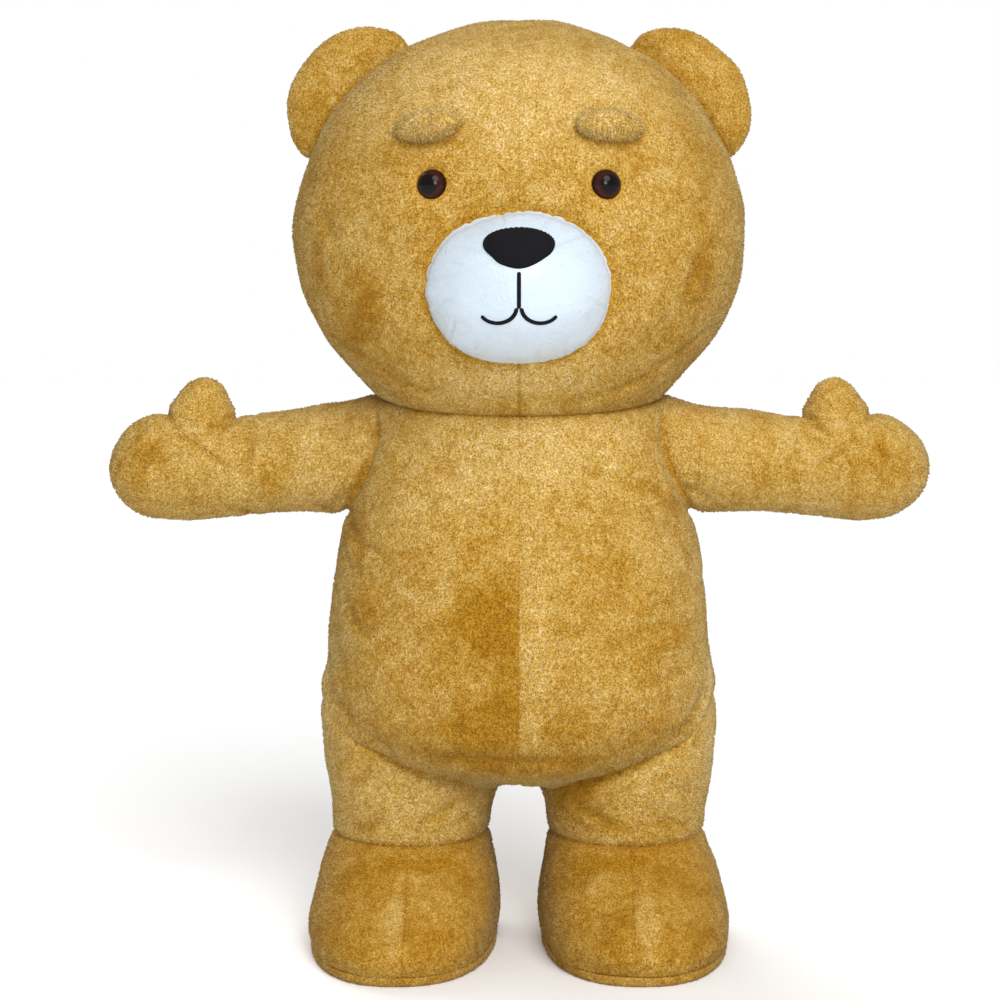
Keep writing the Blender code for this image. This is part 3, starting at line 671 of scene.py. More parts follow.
class PlushSettings(PropertyGroup):
    """Sizes and colours of the plush."""

    pile_length: FloatProperty(
        name="Pile length", description="Length of the pile", default=0.0043, unit="LENGTH", precision=4
    )
    pile_spacing: FloatProperty(
        name="Tuft spacing",
        description="Distance between tufts",
        default=0.0051,
        unit="LENGTH",
        precision=4,
    )
    tuft_radius: FloatProperty(
        name="Tuft radius",
        description="Radius of a tuft at its root",
        default=0.0030,
        unit="LENGTH",
        precision=4,
    )
    brow_length: FloatProperty(
        name="Brow pile",
        description="Length of the pile on the brows",
        default=0.0095,
        unit="LENGTH",
        precision=4,
    )
    cell: FloatProperty(
        name="Cloth cell",
        description="Size of the cloth's grid",
        default=0.0125,
        unit="LENGTH",
        precision=4,
    )
    lumps: FloatProperty(
        name="Unevenness", description="Height of the filled cloth's lumps", default=0.0034, unit="LENGTH"
    )
    # Deep in the pile: the pile's own darker roots, and painted shade between the tufts
    root_colour: FloatVectorProperty(
        name="Root", description="Colour deep in the pile", default=(0.235, 0.108, 0.009), subtype="COLOR"
    )
    gold_colour: FloatVectorProperty(
        name="Gold",
        description="Colour of most of the pile",
        default=(0.475, 0.268, 0.033),
        subtype="COLOR",
    )
    cream_colour: FloatVectorProperty(
        name="Cream",
        description="Colour of the palest tips",
        default=(0.780, 0.600, 0.265),
        subtype="COLOR",
    )


class FaceSettings(PropertyGroup):
    """Sizes and colours of the face."""

    satin_colour: FloatVectorProperty(
        name="Muzzle",
        description="Colour of the slick cloth",
        default=(0.585, 0.68, 0.765),
        subtype="COLOR",
    )
    black_colour: FloatVectorProperty(
        name="Nose and mouth",
        description="Colour of the black cloth",
        default=(0.004, 0.004, 0.005),
        subtype="COLOR",
    )
    eye_colour: FloatVectorProperty(
        name="Eye",
        description="Colour of the eye's brown ring",
        default=(0.042, 0.010, 0.007),
        subtype="COLOR",
    )
    cord_radius: FloatProperty(
        name="Mouth cord",
        description="Radius of the mouth's cord",
        default=0.0042,
        unit="LENGTH",
        precision=4,
    )
    puckers: IntProperty(
        name="Puckers", description="Small folds round the muzzle's rim", default=64, min=0
    )


class ZipSettings(PropertyGroup):
    """Sizes and colours of the zip."""

    tape_colour: FloatVectorProperty(
        name="Tape", description="Colour of the zip's tape", default=(0.34, 0.20, 0.075), subtype="COLOR"
    )
    metal_colour: FloatVectorProperty(
        name="Metal",
        description="Colour of the teeth and slider",
        default=(0.62, 0.47, 0.24),
        subtype="COLOR",
    )
    pitch: FloatProperty(
        name="Tooth pitch",
        description="From one tooth to the next",
        default=0.0030,
        unit="LENGTH",
        precision=4,
    )


class StageSettings(PropertyGroup):
    """The floor, lights and camera."""

    floor_colour: FloatVectorProperty(
        name="Floor", description="Colour of the floor", default=(0.96, 0.96, 0.96), subtype="COLOR"
    )
    sky_strength: FloatProperty(
        name="Surround", description="Strength of the surround's light", default=0.47
    )
    sun_strength: FloatProperty(name="Sun", description="Strength of the soft sun", default=1.74)
    back_strength: FloatProperty(
        name="Back sun", description="Strength of the soft sun behind", default=1.15
    )
    key_power: FloatProperty(
        name="Key light", description="Power of the front light", default=29.0, unit="POWER"
    )
    camera_height: FloatProperty(
        name="Camera height", description="Height of the camera", default=1.35, unit="LENGTH"
    )
    camera_distance: FloatProperty(
        name="Camera distance", description="From the side seams to the camera", default=4.5, unit="LENGTH"
    )
    camera_pitch: FloatProperty(
        name="Camera pitch",
        description="How far the camera looks down",
        default=math.radians(4.95),
        unit="ROTATION",
    )


def new_mesh(name, points, faces, smooth=True):
    """A mesh from points in the tables' frame, moved to its place in the model's frame."""
    mesh = bpy.data.meshes.new(name)
    mesh.from_pydata(np.array(points, float).reshape(-1, 3) + TO_FRAME, [], faces)
    if smooth:
        mesh.shade_smooth()
    return mesh


def grid_faces(shape, turned=False):
    """The corners of each quad of a grid of points."""
    index = np.arange(shape[0] * shape[1]).reshape(shape[:2])
    corners = np.stack([index[:-1, :-1], index[:-1, 1:], index[1:, 1:], index[1:, :-1]], axis=-1)
    return corners[..., ::-1] if turned else corners


def weld(mesh, distance):
    """Joins a mesh's doubled points, and drops those that no face uses."""
    bm = bmesh.new()
    bm.from_mesh(mesh)
    bmesh.ops.delete(bm, geom=[vert for vert in bm.verts if not vert.link_faces], context="VERTS")
    bmesh.ops.remove_doubles(bm, verts=bm.verts, dist=distance)
    bm.to_mesh(mesh)
    bm.free()
    return mesh


def set_pile(mesh, tip=0.5, tone=0.5, nap_and_painted_light=0.5):
    """Gives each point its share of the way to a tuft's tip, its tone, and its nap with its painted light
    and shade.
    """
    values = np.ones((len(mesh.vertices), 4), np.float32)
    values[:, 0], values[:, 1], values[:, 2] = tip, tone, nap_and_painted_light
    layer = mesh.attributes.new("pile", "FLOAT_COLOR", "POINT")
    layer.data.foreach_set("color", values.ravel())


def nap_and_light_share(nap_and_painted_light):
    """The nap with its painted light and shade, as a share from 0, dark, to 1, pale."""
    return 0.5 + 0.5 * np.clip(nap_and_painted_light, -1.0, 1.0)


def add_piece(name, mesh, material, body=COSTUME, replaces=()):
    """A finished piece that rides on a body."""
    made = bpy.data.objects.new(name, mesh)
    bpy.context.scene.collection.objects.link(made)
    made.data.materials.append(material)
    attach(made, body)
    if replaces:
        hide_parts(*replaces)
    return made


def seed_of(name):
    """The same run of random numbers each time for a name."""
    return np.random.default_rng(zlib.crc32(name.encode()))


WAVES = np.random.default_rng(41)
WAVE_COUNT = 14
WAVE_TURNS = WAVES.normal(size=(WAVE_COUNT, 3))
WAVE_TURNS /= np.linalg.norm(WAVE_TURNS, axis=1, keepdims=True)
WAVE_TURNS *= (FULL_TURN / WAVES.uniform(0.09, 0.26, WAVE_COUNT))[:, None]
WAVE_STARTS = WAVES.uniform(0.0, FULL_TURN, WAVE_COUNT)


def unevenness(points, stretch=1.0):
    """Broad soft lumps, from -1 to 1 or so, that never repeat over the costume."""
    waves = np.sin(stretch * points @ WAVE_TURNS.T + WAVE_STARTS)
    return waves.sum(axis=-1) / 5.0


def grid_normals(points, centre):
    """Outward normals of a grid of points, and whether its faces turn the other way."""
    normals = np.cross(np.gradient(points, axis=1), np.gradient(points, axis=0))
    size = np.linalg.norm(normals, axis=-1, keepdims=True)
    flat = size[..., 0] < 1e-10
    normals = normals / np.maximum(size, 1e-12)
    turned = float(((points - centre) * normals).sum()) < 0.0
    if turned:
        normals = -normals
    for row in np.nonzero(flat.any(axis=1))[0]:
        near = row - 1 if row > 0 else 1
        normals[row] = unit(normals[near].mean(axis=0))
    return normals, turned


def edge_gaps(points):
    """How far each point of a grid is from the grid's four edges, measured along the cloth."""
    rows, columns = steps(points, 0), steps(points, 1)
    down = np.concatenate([np.zeros((1, points.shape[1])), np.cumsum(rows, axis=0)])
    over = np.concatenate([np.zeros((points.shape[0], 1)), np.cumsum(columns, axis=1)], axis=1)
    return {"start": down, "end": down[-1] - down, "low": over, "high": over[:, -1:] - over}


def graded(length, cell, start=True, end=True):
    """Places along a length, a cell apart but closer together beside a seam."""
    near = np.array([0.0, 0.0024, 0.0052, 0.0088, 0.0135])
    low = near if start else near[:1]
    high = near if end else near[:1]
    room = length - low[-1] - high[-1]
    count = max(2, round(room / cell))
    middle = low[-1] + room * np.arange(1, count) / count
    return np.concatenate([low, middle, length - high[::-1]])


def crease_lift(points, form, creases):
    """How far the creases of a form move some points out."""
    flat = points.reshape(-1, 3)
    lift = np.zeros(len(flat))
    t = np.linspace(0.0, 1.0, 26)
    for crease in creases:
        angle = np.radians(crease.angle + (crease.to_angle - crease.angle) * t)
        line = form.points(angle, form.along(crease.way + (crease.to_way - crease.way) * t))
        aside = unit(np.cross(line[-1] - line[0], line[13] - form.centre()))
        line = line + aside * (crease.bow * np.sin(math.pi * t))[:, None]
        margin = 3.0 * crease.width
        near = np.all((flat > line.min(axis=0) - margin) & (flat < line.max(axis=0) + margin), axis=1)
        index = np.nonzero(near)[0]
        if not len(index):
            continue
        gaps = np.linalg.norm(flat[index, None] - line[None], axis=-1)
        where = gaps.argmin(axis=1)
        gap = gaps[np.arange(len(index)), where] / crease.width
        fade = np.sin(math.pi * clamped(0.04 + 0.96 * t[where] ** 0.8)) ** 0.8
        lift[index] -= crease.depth * fade * (1.0 - 0.9 * gap**2) * bell(gap)
    return lift.reshape(points.shape[:-1])


def painted_nap_and_light(points, normals, form, spots, panel):
    """How dark or pale the nap lies over some points, with painted light and painted shade in some spots.
    """
    nap_and_painted_light = np.zeros(points.shape[:-1])
    ragged = unevenness(points, 4.0)
    for spot in spots:
        if not panel.endswith(spot.panel):
            continue
        angle, along = math.radians(spot.angle), form.along(spot.way)
        middle = form.points(angle, along)
        over = unit(form.points(angle + 0.01, along) - form.points(angle - 0.01, along))
        up = unit(form.points(angle, along + 0.003) - form.points(angle, along - 0.003))
        out = np.cross(over, up)
        if np.dot(out, middle - form.centre()) < 0.0:
            out = -out
        away = points - middle
        turn = math.radians(spot.turn)
        x, z = away @ over, away @ up
        wide = (x * math.cos(turn) + z * math.sin(turn)) / spot.half_wide
        high = (z * math.cos(turn) - x * math.sin(turn)) / spot.half_high
        reach = np.maximum(wide**2 + high**2 + 0.45 * ragged, 0.0)
        facing = (normals @ out > 0.2) & (np.abs(away @ out) < 0.12)
        nap_and_painted_light += spot.strength * np.exp(-(reach**1.3)) * facing
    return nap_and_painted_light


def run_in(seam_name, points):
    """How smoothly a limb runs into the trunk at some points, from 0 at a sharp seam to 1."""
    across, height = np.abs(points[..., 0]), points[..., 2]
    if seam_name == "leg top":
        return np.maximum(clamped((across - 0.27) / 0.08), clamped((0.125 - across) / 0.05))
    if seam_name == "armhole":
        return clamped((height - 1.110) / 0.05)
    if seam_name == "thumb root":
        return clamped((0.068 - np.abs(across - 0.688)) / 0.03)
    return np.zeros(points.shape[:-1])


class Patch:
    """A grid of cloth, shaped by its seams, creases and neighbours."""

    edges = {"start": np.s_[:1], "end": np.s_[-1:], "low": np.s_[:, :1], "high": np.s_[:, -1:]}

    def __init__(
        self, name, points, form, seams=None, neighbours=(), creases=(), spots=(), shaping=None, lie_and_painted_light=0.0
    ):
        plush = bpy.context.scene.costume_plush
        self.normals, self.turned = grid_normals(points, form.centre())
        self.pushes = self.normals.copy()
        self.short = np.zeros(points.shape[:-1])
        self.cover = np.full(points.shape[:-1], -1.0)
        gaps = edge_gaps(points)
        drop = np.full(points.shape[:-1], BACKING_DEPTH)
        calm = np.ones(points.shape[:-1])
        # Where a deep seam parts the pile the colour darkens: partly the roots showing, partly painted seam
        # shade
        parted_and_seam_shade = np.zeros(points.shape[:-1])
        for edge, seam_name in (seams or {}).items():
            seam, gap = SEAMS[seam_name], gaps[edge]
            if seam_name == "back":
                calm -= bell(gap, CALM_REACH)
            if seam_name in LEVEL_SEAMS:
                share = bell(gap, LEVEL_REACH)[..., None]
                level = unit(self.normals * np.array([1.0, 1.0, 0.0]))
                self.pushes = (1.0 - share) * self.pushes + share * level
            depth = np.where(points[..., 2] < seam.below, seam.deep, seam.depth)
            drop += depth * bell(gap, seam.reach)
            self.shorten(depth, bell(gap, SHORT_REACH))
            parted_and_seam_shade += clamped((depth - 0.0022) / 0.004) * bell(gap, PARTED_SHADE_REACH)
        for neighbour, seam_name, cuts in neighbours:
            seam = SEAMS[seam_name]
            inside = neighbour.depth(points)
            run = run_in(seam_name, points)
            fillet = FILLET if seam_name == "armhole" else 1.5 * FILLET
            drop += (1.0 - run) * seam.depth * bell(inside, seam.reach)
            drop -= run * fillet * bell(inside, 3.4 * FILLET)
            self.shorten(seam.depth, bell(np.minimum(inside, 0.0), SHORT_REACH))
            parted_and_seam_shade += (1.0 - run) * min(1.0, seam.depth / 0.006) * bell(inside, 0.008)
            # Under a neighbour that doesn't cut it, the cloth stays
            self.cover = np.maximum(self.cover, inside if cuts else np.minimum(inside, 0.98 * UNDERLAP))
        # The folds also colour the nap below: darker in a crease, painted shade, and paler on a ridge,
        # painted highlight
        folds = calm * crease_lift(points, form, creases)
        drop -= folds + calm * plush.lumps * unevenness(points)
        if shaping is not None:
            drop -= shaping(points)
        self.points = points - self.pushes * drop[..., None]
        self.nap_and_painted_light = lie_and_painted_light - 0.8 * parted_and_seam_shade + 60.0 * folds + painted_nap_and_light(points, self.normals, form, spots, name)
        self.furred = self.cover < PILE_UNDERLAP
        self.kept = self.cover < UNDERLAP
        for edge in seams or {}:
            self.turn_in(edge)

    def shorten(self, depth, share):
        """Makes the pile shorter in a seam, by the seam's depth."""
        self.short = np.maximum(self.short, np.minimum(MOST_SHORTENED, depth / SHORT_DEPTH) * share)

    def turn_in(self, edge):
        """Adds the seam allowance, turned in along a sewn edge."""
        take = self.edges[edge]
        inner = (self.points - TURN_IN * self.pushes)[take]
        for label in ("points", "normals", "pushes", "nap_and_painted_light", "short", "cover", "furred", "kept"):
            value = getattr(self, label)
            added = inner if label == "points" else value[take].copy()
            if label == "furred":
                added[:] = False
            pair = (added, value) if edge in ("start", "low") else (value, added)
            setattr(self, label, np.concatenate(pair, axis=0 if edge in ("start", "end") else 1))

    def faces(self, mask):
        """The corners of each quad whose points all pass a mask."""
        whole = mask[:-1, :-1] & mask[:-1, 1:] & mask[1:, 1:] & mask[1:, :-1]
        return grid_faces(mask.shape, self.turned)[whole]

    def spans(self):
        """The longest way over the cloth along its rows and along its columns."""
        rows = steps(self.points, 1) * (self.kept[:, 1:] & self.kept[:, :-1])
        columns = steps(self.points, 0) * (self.kept[1:] & self.kept[:-1])
        return rows.sum(axis=1).max(), columns.sum(axis=0).max()


def merged_cloth(name, patches):
    """One mesh of the kept parts of some patches, with no doubled points."""
    faces, first = [], 0
    for patch in patches:
        faces.append(patch.faces(patch.kept) + first)
        first += patch.nap_and_painted_light.size
    points = np.vstack([patch.points.reshape(-1, 3) for patch in patches])
    short = np.concatenate([patch.short.ravel() for patch in patches])
    nap_and_painted_light = np.concatenate([patch.nap_and_painted_light.ravel() for patch in patches])
    mesh = new_mesh(name, points, np.vstack(faces).tolist())
    # The backing is darker than the tufts' tips, tip share 0.30: painted shade between the tufts
    # The backing's tone is darker where the pile is short in a seam: painted seam shade
    set_pile(mesh, 0.30, 0.45 - 0.25 * short, nap_and_light_share(nap_and_painted_light))
    return weld(mesh, 0.0002)


def state_sheet(piece, patches):
    """Works out what size a panel was cut to, allowances included: its longest ways over, and its area;
    nothing is done with them.

    A thumb's length adds to the width of the sleeve that it is cut in one with.
    """
    areas = np.empty(len(piece.data.polygons))
    piece.data.polygons.foreach_get("area", areas)
    width, length = patches[0].spans()
    for patch in patches[1:]:
        width += patch.spans()[1]


def scatter(patches, spacing, rng):
    """Places for tufts, evenly thick on some patches: the points, normals, nap with its painted light and
    shade, and shortness there.
    """
    found = {label: [] for label in ("points", "normals", "nap_and_painted_light", "short")}
    for patch in patches:
        quads = patch.faces(patch.furred)
        corner = patch.points.reshape(-1, 3)[quads]
        crossed = np.cross(corner[:, 2] - corner[:, 0], corner[:, 3] - corner[:, 1])
        areas = 0.5 * np.linalg.norm(crossed, axis=1)
        number = np.floor(areas / spacing**2 + rng.random(len(areas))).astype(int)
        pick = np.repeat(np.arange(len(areas)), number)
        u, v = rng.random((2, len(pick), 1))
        weights = np.stack([(1 - u) * (1 - v), u * (1 - v), u * v, (1 - u) * v], axis=1)
        for label, values in found.items():
            corners = getattr(patch, label).reshape(patch.nap_and_painted_light.size, -1)[quads]
            values.append((corners[pick] * weights).sum(axis=1))
    root, up, nap_and_painted_light, short = (np.vstack(values) for values in found.values())
    return root, unit(up), nap_and_painted_light[:, 0], short[:, 0]


def laid(vectors, up):
    """What is left of some vectors along the cloth."""
    return vectors - up * (vectors * up).sum(axis=1, keepdims=True)


def make_pile(name, patches, length):
    """The pile that stands on some patches: small tufts that lean with the nap."""
    plush = bpy.context.scene.costume_plush
    rng = seed_of(name)
    root, up, nap_and_painted_light, short = scatter(patches, plush.pile_spacing, rng)
    count = len(root)
    x, z = root[:, 0], root[:, 2]
    on_arm = clamped((np.abs(x) - 0.34) / 0.12) * (z > 0.80) * (z < 1.25)
    fall = np.column_stack([ARM_FALL * on_arm * np.sign(x), np.zeros(count), -np.ones(count)])
    stray = laid(rng.normal(size=(count, 3)), up)
    clump = np.stack([unevenness(root + np.array([k, 0.7 * k, 0.3]), 6.5) for k in (0.0, 1.1, 2.3)], axis=1)
    aim = unit(up + PILE_FALL * laid(fall, up) + PILE_CLUMP * clump + PILE_STRAY * stray)
    reach = length * rng.uniform(0.72, 1.22, count) * (1.0 - short)
    width = plush.tuft_radius * rng.uniform(0.8, 1.25, count)
    first = unit(np.cross(up, np.roll(up, 1, axis=1) + 0.31))
    second = np.cross(up, first)
    spin = rng.uniform(0.0, FULL_TURN, count)
    corners = []
    for k in range(3):
        angle = spin + FULL_TURN * k / 3.0
        ring = first * np.cos(angle)[:, None] + second * np.sin(angle)[:, None]
        corners.append(root - ROOT_SINK * up + ring * width[:, None])
    corners.append(root + aim * reach[:, None])
    points = np.stack(corners, axis=1).reshape(-1, 3)
    points[:, 2] = np.maximum(points[:, 2], FLOOR_GAP)
    start = 4 * np.arange(count)[:, None, None]
    faces = (start + np.array([[0, 1, 3], [1, 2, 3], [2, 0, 3]])[None]).reshape(-1, 3)
    mesh = new_mesh(name, points, faces.tolist())
    # The tone is darker where the pile is short in a seam: painted seam shade
    tone = clamped(rng.normal(0.5, 0.2, count) - 0.4 * short)
    set_pile(mesh, np.tile([0.0, 0.0, 0.0, 1.0], count), np.repeat(tone, 4), np.repeat(nap_and_light_share(nap_and_painted_light), 4))
    return add_piece(name, mesh, plush_material())


def make_panel(name, patches, length=None):
    """A sewn panel of plush: its cloth and the pile on it."""
    pile = make_pile("pile_" + name, patches, length or bpy.context.scene.costume_plush.pile_length)
    mesh = merged_cloth("cloth_" + name, patches)
    cloth = add_piece("cloth_" + name, mesh, plush_material(), replaces=(name,))
    state_sheet(cloth, patches)
    check_place(name, pile)


def check_place(node, piece, room=0.020):
    """Stops if a piece strays from the place of the node that it stands for."""
    low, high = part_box(node)
    corners = np.array([corner[:] for corner in piece.bound_box])
    lowest, highest = corners.min(axis=0), corners.max(axis=0)
    if (lowest < np.array(low) - room).any() or (highest > np.array(high) + room).any():
        raise ValueError(f"{piece.name} leaves the place of {node}: {lowest} {highest} {low} {high}")


def read_angle(angle, along):
    """An angle at some places along a form, from one number or from a line of places and angles."""
    return np.full(along.shape, angle) if np.ndim(angle) == 0 else np.interp(along, *angle)


def level_grid(form, low, high, cell, start=0.0, pointed_start=False, pointed_end=False):
    """A grid over a form, between two angles in radians that may change along it."""
    along = start + graded(form.profile[-1] - start, cell, not pointed_start, not pointed_end)
    low, high = read_angle(low, along), read_angle(high, along)
    widest = np.argmax(form.columns(along)[2])
    girth = steps(form.points(np.linspace(low[widest], high[widest], 200), along[widest])).sum()
    share = graded(girth, cell) / girth
    angles = low[:, None] + (high - low)[:, None] * share
    return form.points(angles, np.broadcast_to(along[:, None], angles.shape))


def lobe_grid(form, start, end, cell, fine_end=False):
    """A grid over a lobe from a lean at its front pole to a further lean."""
    length = steps(form.points(0.0, np.linspace(start, end, 60))).sum()
    lean = start + (end - start) * graded(length, cell, False, fine_end) / length
    girth = steps(form.points(np.linspace(0.0, FULL_TURN, 240), QUARTER_TURN)).sum()
    angle = np.linspace(0.0, FULL_TURN, max(12, round(girth / cell)) + 1)
    return form.points(*np.meshgrid(angle, lean))


def closed_lobe(name, form, rows, columns, shaping=None):
    """A closed mesh over a whole lobe, with its poles as single points."""
    angle, lean = np.meshgrid(np.linspace(0.0, FULL_TURN, columns + 1), np.linspace(0.0, math.pi, rows + 1))
    points = form.points(angle, lean)
    normals, turned = grid_normals(points, form.centre())
    normals[:, -1] = normals[:, 0]
    if shaping is not None:
        points = points + normals * shaping(points, lean)[..., None]
    mesh = new_mesh(name, points, grid_faces(angle.shape, turned).reshape(-1, 4).tolist())
    set_pile(mesh, np.sin(np.minimum(lean, QUARTER_TURN)).ravel())
    return weld(mesh, 0.00001)


def tube_points(line, radii, sides):
    """Rings of points round a line, with a radius at each of its points, and the tube's faces."""
    along = np.gradient(line, axis=0)
    along /= np.linalg.norm(along, axis=1, keepdims=True)
    first = unit(np.cross(along, np.array([0.0, 1.0, 0.0])))
    second = np.cross(first, along)
    angle = FULL_TURN * np.arange(sides) / sides
    ring = first[:, None] * np.cos(angle)[None, :, None] + second[:, None] * np.sin(angle)[None, :, None]
    points = line[:, None] + ring * np.asarray(radii)[:, None, None]
    index = np.arange(len(line) * sides).reshape(len(line), sides)
    over = np.roll(index, -1, axis=1)
    faces = np.stack([index[:-1], over[:-1], over[1:], index[1:]], axis=-1).reshape(-1, 4).tolist()
    return points.reshape(-1, 3), [*faces, index[0][::-1].tolist(), index[-1].tolist()]


class Shading:
    """A tree of shader nodes, with short ways to add to it."""

    def __init__(self, tree):
        self.nodes, self.links = tree.nodes, tree.links

    def feed(self, socket, value):
        """Gives a socket a number, a colour or another socket's value."""
        if isinstance(value, bpy.types.NodeSocket):
            self.links.new(value, socket)
        elif isinstance(value, tuple):
            socket.default_value = (*value, 1.0)
        else:
            socket.default_value = value

    def fill(self, node, **inputs):
        """Feeds a node's inputs by their names."""
        for label, value in inputs.items():
            self.feed(node.inputs[label.replace("_", " ")], value)
        return node

    def finish(self, **inputs):
        """Feeds the material's own shader."""
        self.fill(self.nodes["Principled BSDF"], **inputs)

    def maths(self, operation, first, second=0.0):
        """What a sum makes of two sockets or numbers."""
        node = self.nodes.new("ShaderNodeMath")
        node.operation = operation
        self.feed(node.inputs[0], first)
        self.feed(node.inputs[1], second)
        return node.outputs[0]

    def add_up(self, start, *terms):
        """A number plus some sockets, each times its weight."""
        total = start
        for value, weight in terms:
            total = self.maths("ADD", total, self.maths("MULTIPLY", value, weight))
        return total

    def tint(self, factor, first, second, blend="MIX"):
        """A mix of two colours."""
        node = self.nodes.new("ShaderNodeMix")
        node.data_type = "RGBA"
        node.blend_type = blend
        for place, value in ((0, factor), (6, first), (7, second)):
            self.feed(node.inputs[place], value)
        return node.outputs[2]

    def ramp(self, level, *stops):
        """A colour for each level."""
        node = self.fill(self.nodes.new("ShaderNodeValToRGB"), Fac=level)
        elements = node.color_ramp.elements
        while len(elements) < len(stops):
            elements.new(0.5)
        for element, (place, colour) in zip(elements, stops):
            element.position = place
            element.color = (*colour, 1.0)
        return node.outputs[0]

    def texture(self, kind, **inputs):
        """A texture over the model's own place."""
        place = self.nodes.get("place")
        if place is None:
            place = self.nodes.new("ShaderNodeTexCoord")
            place.name = "place"
        return self.fill(self.nodes.new(kind), Vector=place.outputs["Object"], **inputs)

    def noise(self, scale, detail=2.0, roughness=0.5, distortion=0.0):
        """Soft noise."""
        inputs = {"Scale": scale, "Detail": detail, "Roughness": roughness, "Distortion": distortion}
        return self.texture("ShaderNodeTexNoise", **inputs).outputs[0]

    def weave(self, across, along, **inputs):
        """Threads that cross, with a scale for those each way."""
        threads = []
        for direction, scale in (("X", across), ("Z", along)):
            wave = self.texture("ShaderNodeTexWave", Scale=scale, **inputs)
            wave.bands_direction = direction
            threads.append(wave.outputs[1])
        return self.maths("MULTIPLY", *threads)

    def bump(self, height, strength, distance):
        """A normal that follows a height."""
        node = self.nodes.new("ShaderNodeBump")
        return self.fill(node, Height=height, Strength=strength, Distance=distance).outputs[0]

    def pile(self):
        """The tip, tone, and nap with its painted light and shade, that set_pile gave the mesh."""
        layer = self.nodes.new("ShaderNodeAttribute")
        layer.attribute_name = "pile"
        return self.fill(self.nodes.new("ShaderNodeSeparateColor"), Color=layer.outputs["Color"]).outputs


def make_material(name, build):
    """A material by name, built once."""
    material = bpy.data.materials.get(name)
    if material is None:
        material = bpy.data.materials.new(name)
        material.use_nodes = True
        build(Shading(material.node_tree))
    return material


def shade(colour, share=1.0):
    """A setting's colour, darker or paler by a share."""
    return tuple(share * value for value in colour)


def build_plush(art):
    """Golden plush: dark roots, cream tips, speckled tufts and patches of turned nap, with painted light
    and shade carried in the nap and painted shade at grazing edges.
    """
    plush = bpy.context.scene.costume_plush
    tip, tone, nap_and_painted_light = art.pile()
    grain = art.noise(250.0, 2.0, 0.55)
    fine = art.noise(520.0, 1.0)
    small = art.noise(40.0, 3.0, 0.6, 0.8)
    broad = art.noise(9.0, 3.0, 0.55, 0.6)
    root, gold, cream = shade(plush.root_colour), shade(plush.gold_colour), shade(plush.cream_colour)
    pale = tuple(0.55 * g + 0.45 * c for g, c in zip(gold, cream))
    # Lower on a tuft the colour runs to the root colour: the pile's own darker roots, and painted shade
    # deep between the tufts
    level = art.add_up(-1.03, (tip, 0.24), (tone, 0.26), (grain, 1.45), (fine, 0.72), (small, 0.42))
    pile = art.ramp(level, (0.0, root), (0.40, gold), (0.68, pale), (1.0, cream))
    # This ramp also stands for light: its dark and dull ends are partly painted shade, its lit end partly
    # painted light
    lie_and_painted_light = art.add_up(-0.71, (nap_and_painted_light, 1.0), (broad, 0.82), (small, 0.60))
    dark, dull, even, lit = (0.72, 0.56, 0.10), (0.88, 0.79, 0.48), (1.0, 1.0, 1.0), (1.16, 1.26, 1.80)
    turned = art.ramp(lie_and_painted_light, (0.02, dark), (0.34, dull), (0.55, even), (0.98, lit))
    colour = art.tint(1.0, pile, turned, "MULTIPLY")
    # Painted shade: the colour darkens towards olive where the surface turns away from the view, at grazing
    # angles
    edge = art.maths("POWER", art.nodes.new("ShaderNodeLayerWeight").outputs["Facing"], 2.5)
    art.finish(
        Base_Color=art.tint(edge, colour, (0.70, 0.74, 0.66), "MULTIPLY"),
        Normal=art.bump(art.maths("ADD", fine, grain), 0.55, 0.0014),
        Roughness=0.85,
        Specular_IOR_Level=0.18,
        Sheen_Weight=0.22,
        Sheen_Roughness=0.45,
        Sheen_Tint=(1.0, 0.86, 0.62),
    )


def plush_material():
    """The plush of the whole costume."""
    return make_material("golden plush", build_plush)


def build_satin(art):
    """Slick white cloth with faint waves, pinched wrinkles and a fine close weave."""
    base = bpy.context.scene.costume_face.satin_colour
    waves = art.noise(17.0, 2.0, 0.5, 3.0)
    pinched = art.maths("MINIMUM", art.maths("ABSOLUTE", art.maths("SUBTRACT", waves, 0.5)), 0.06)
    ripple, weave = art.noise(34.0, 3.0, 0.6, 2.2), art.noise(1400.0, 1.0)
    height = art.add_up(0.0, (ripple, 0.8), (pinched, 5.0), (weave, 0.05))
    art.finish(
        Base_Color=art.tint(art.noise(16.0, 3.0, 0.6, 1.2), shade(base, 0.90), shade(base)),
        Normal=art.bump(height, 0.6, 0.0024),
        Roughness=0.34,
        Specular_IOR_Level=0.55,
        Sheen_Weight=0.15,
        Anisotropic=0.3,
    )


def build_black_cloth(art):
    """Black cloth with a plain weave that catches a little light."""
    base = bpy.context.scene.costume_face.black_colour
    art.finish(
        Base_Color=art.tint(art.noise(320.0, 2.0, 0.6), shade(base), shade(base, 2.6)),
        Normal=art.bump(art.weave(260.0, 260.0, Distortion=0.6, Detail=1.0), 0.5, 0.0005),
        Roughness=0.78,
        Specular_IOR_Level=0.10,
    )


def build_eye(art):
    """Glossy eye: a black pupil in a reddish brown ring with a dark rim."""
    base = bpy.context.scene.costume_face.eye_colour
    dark, deep, brown = (0.004, 0.003, 0.003), shade(base, 0.35), shade(base)
    from_pole = art.pile()[0]
    ring = art.ramp(from_pole, (0.0, dark), (0.52, dark), (0.60, deep), (0.80, brown), (1.0, deep))
    art.finish(
        Base_Color=ring,
        Roughness=0.10,
        Specular_IOR_Level=0.12,
        Coat_Weight=0.10,
        Coat_Roughness=0.03,
    )


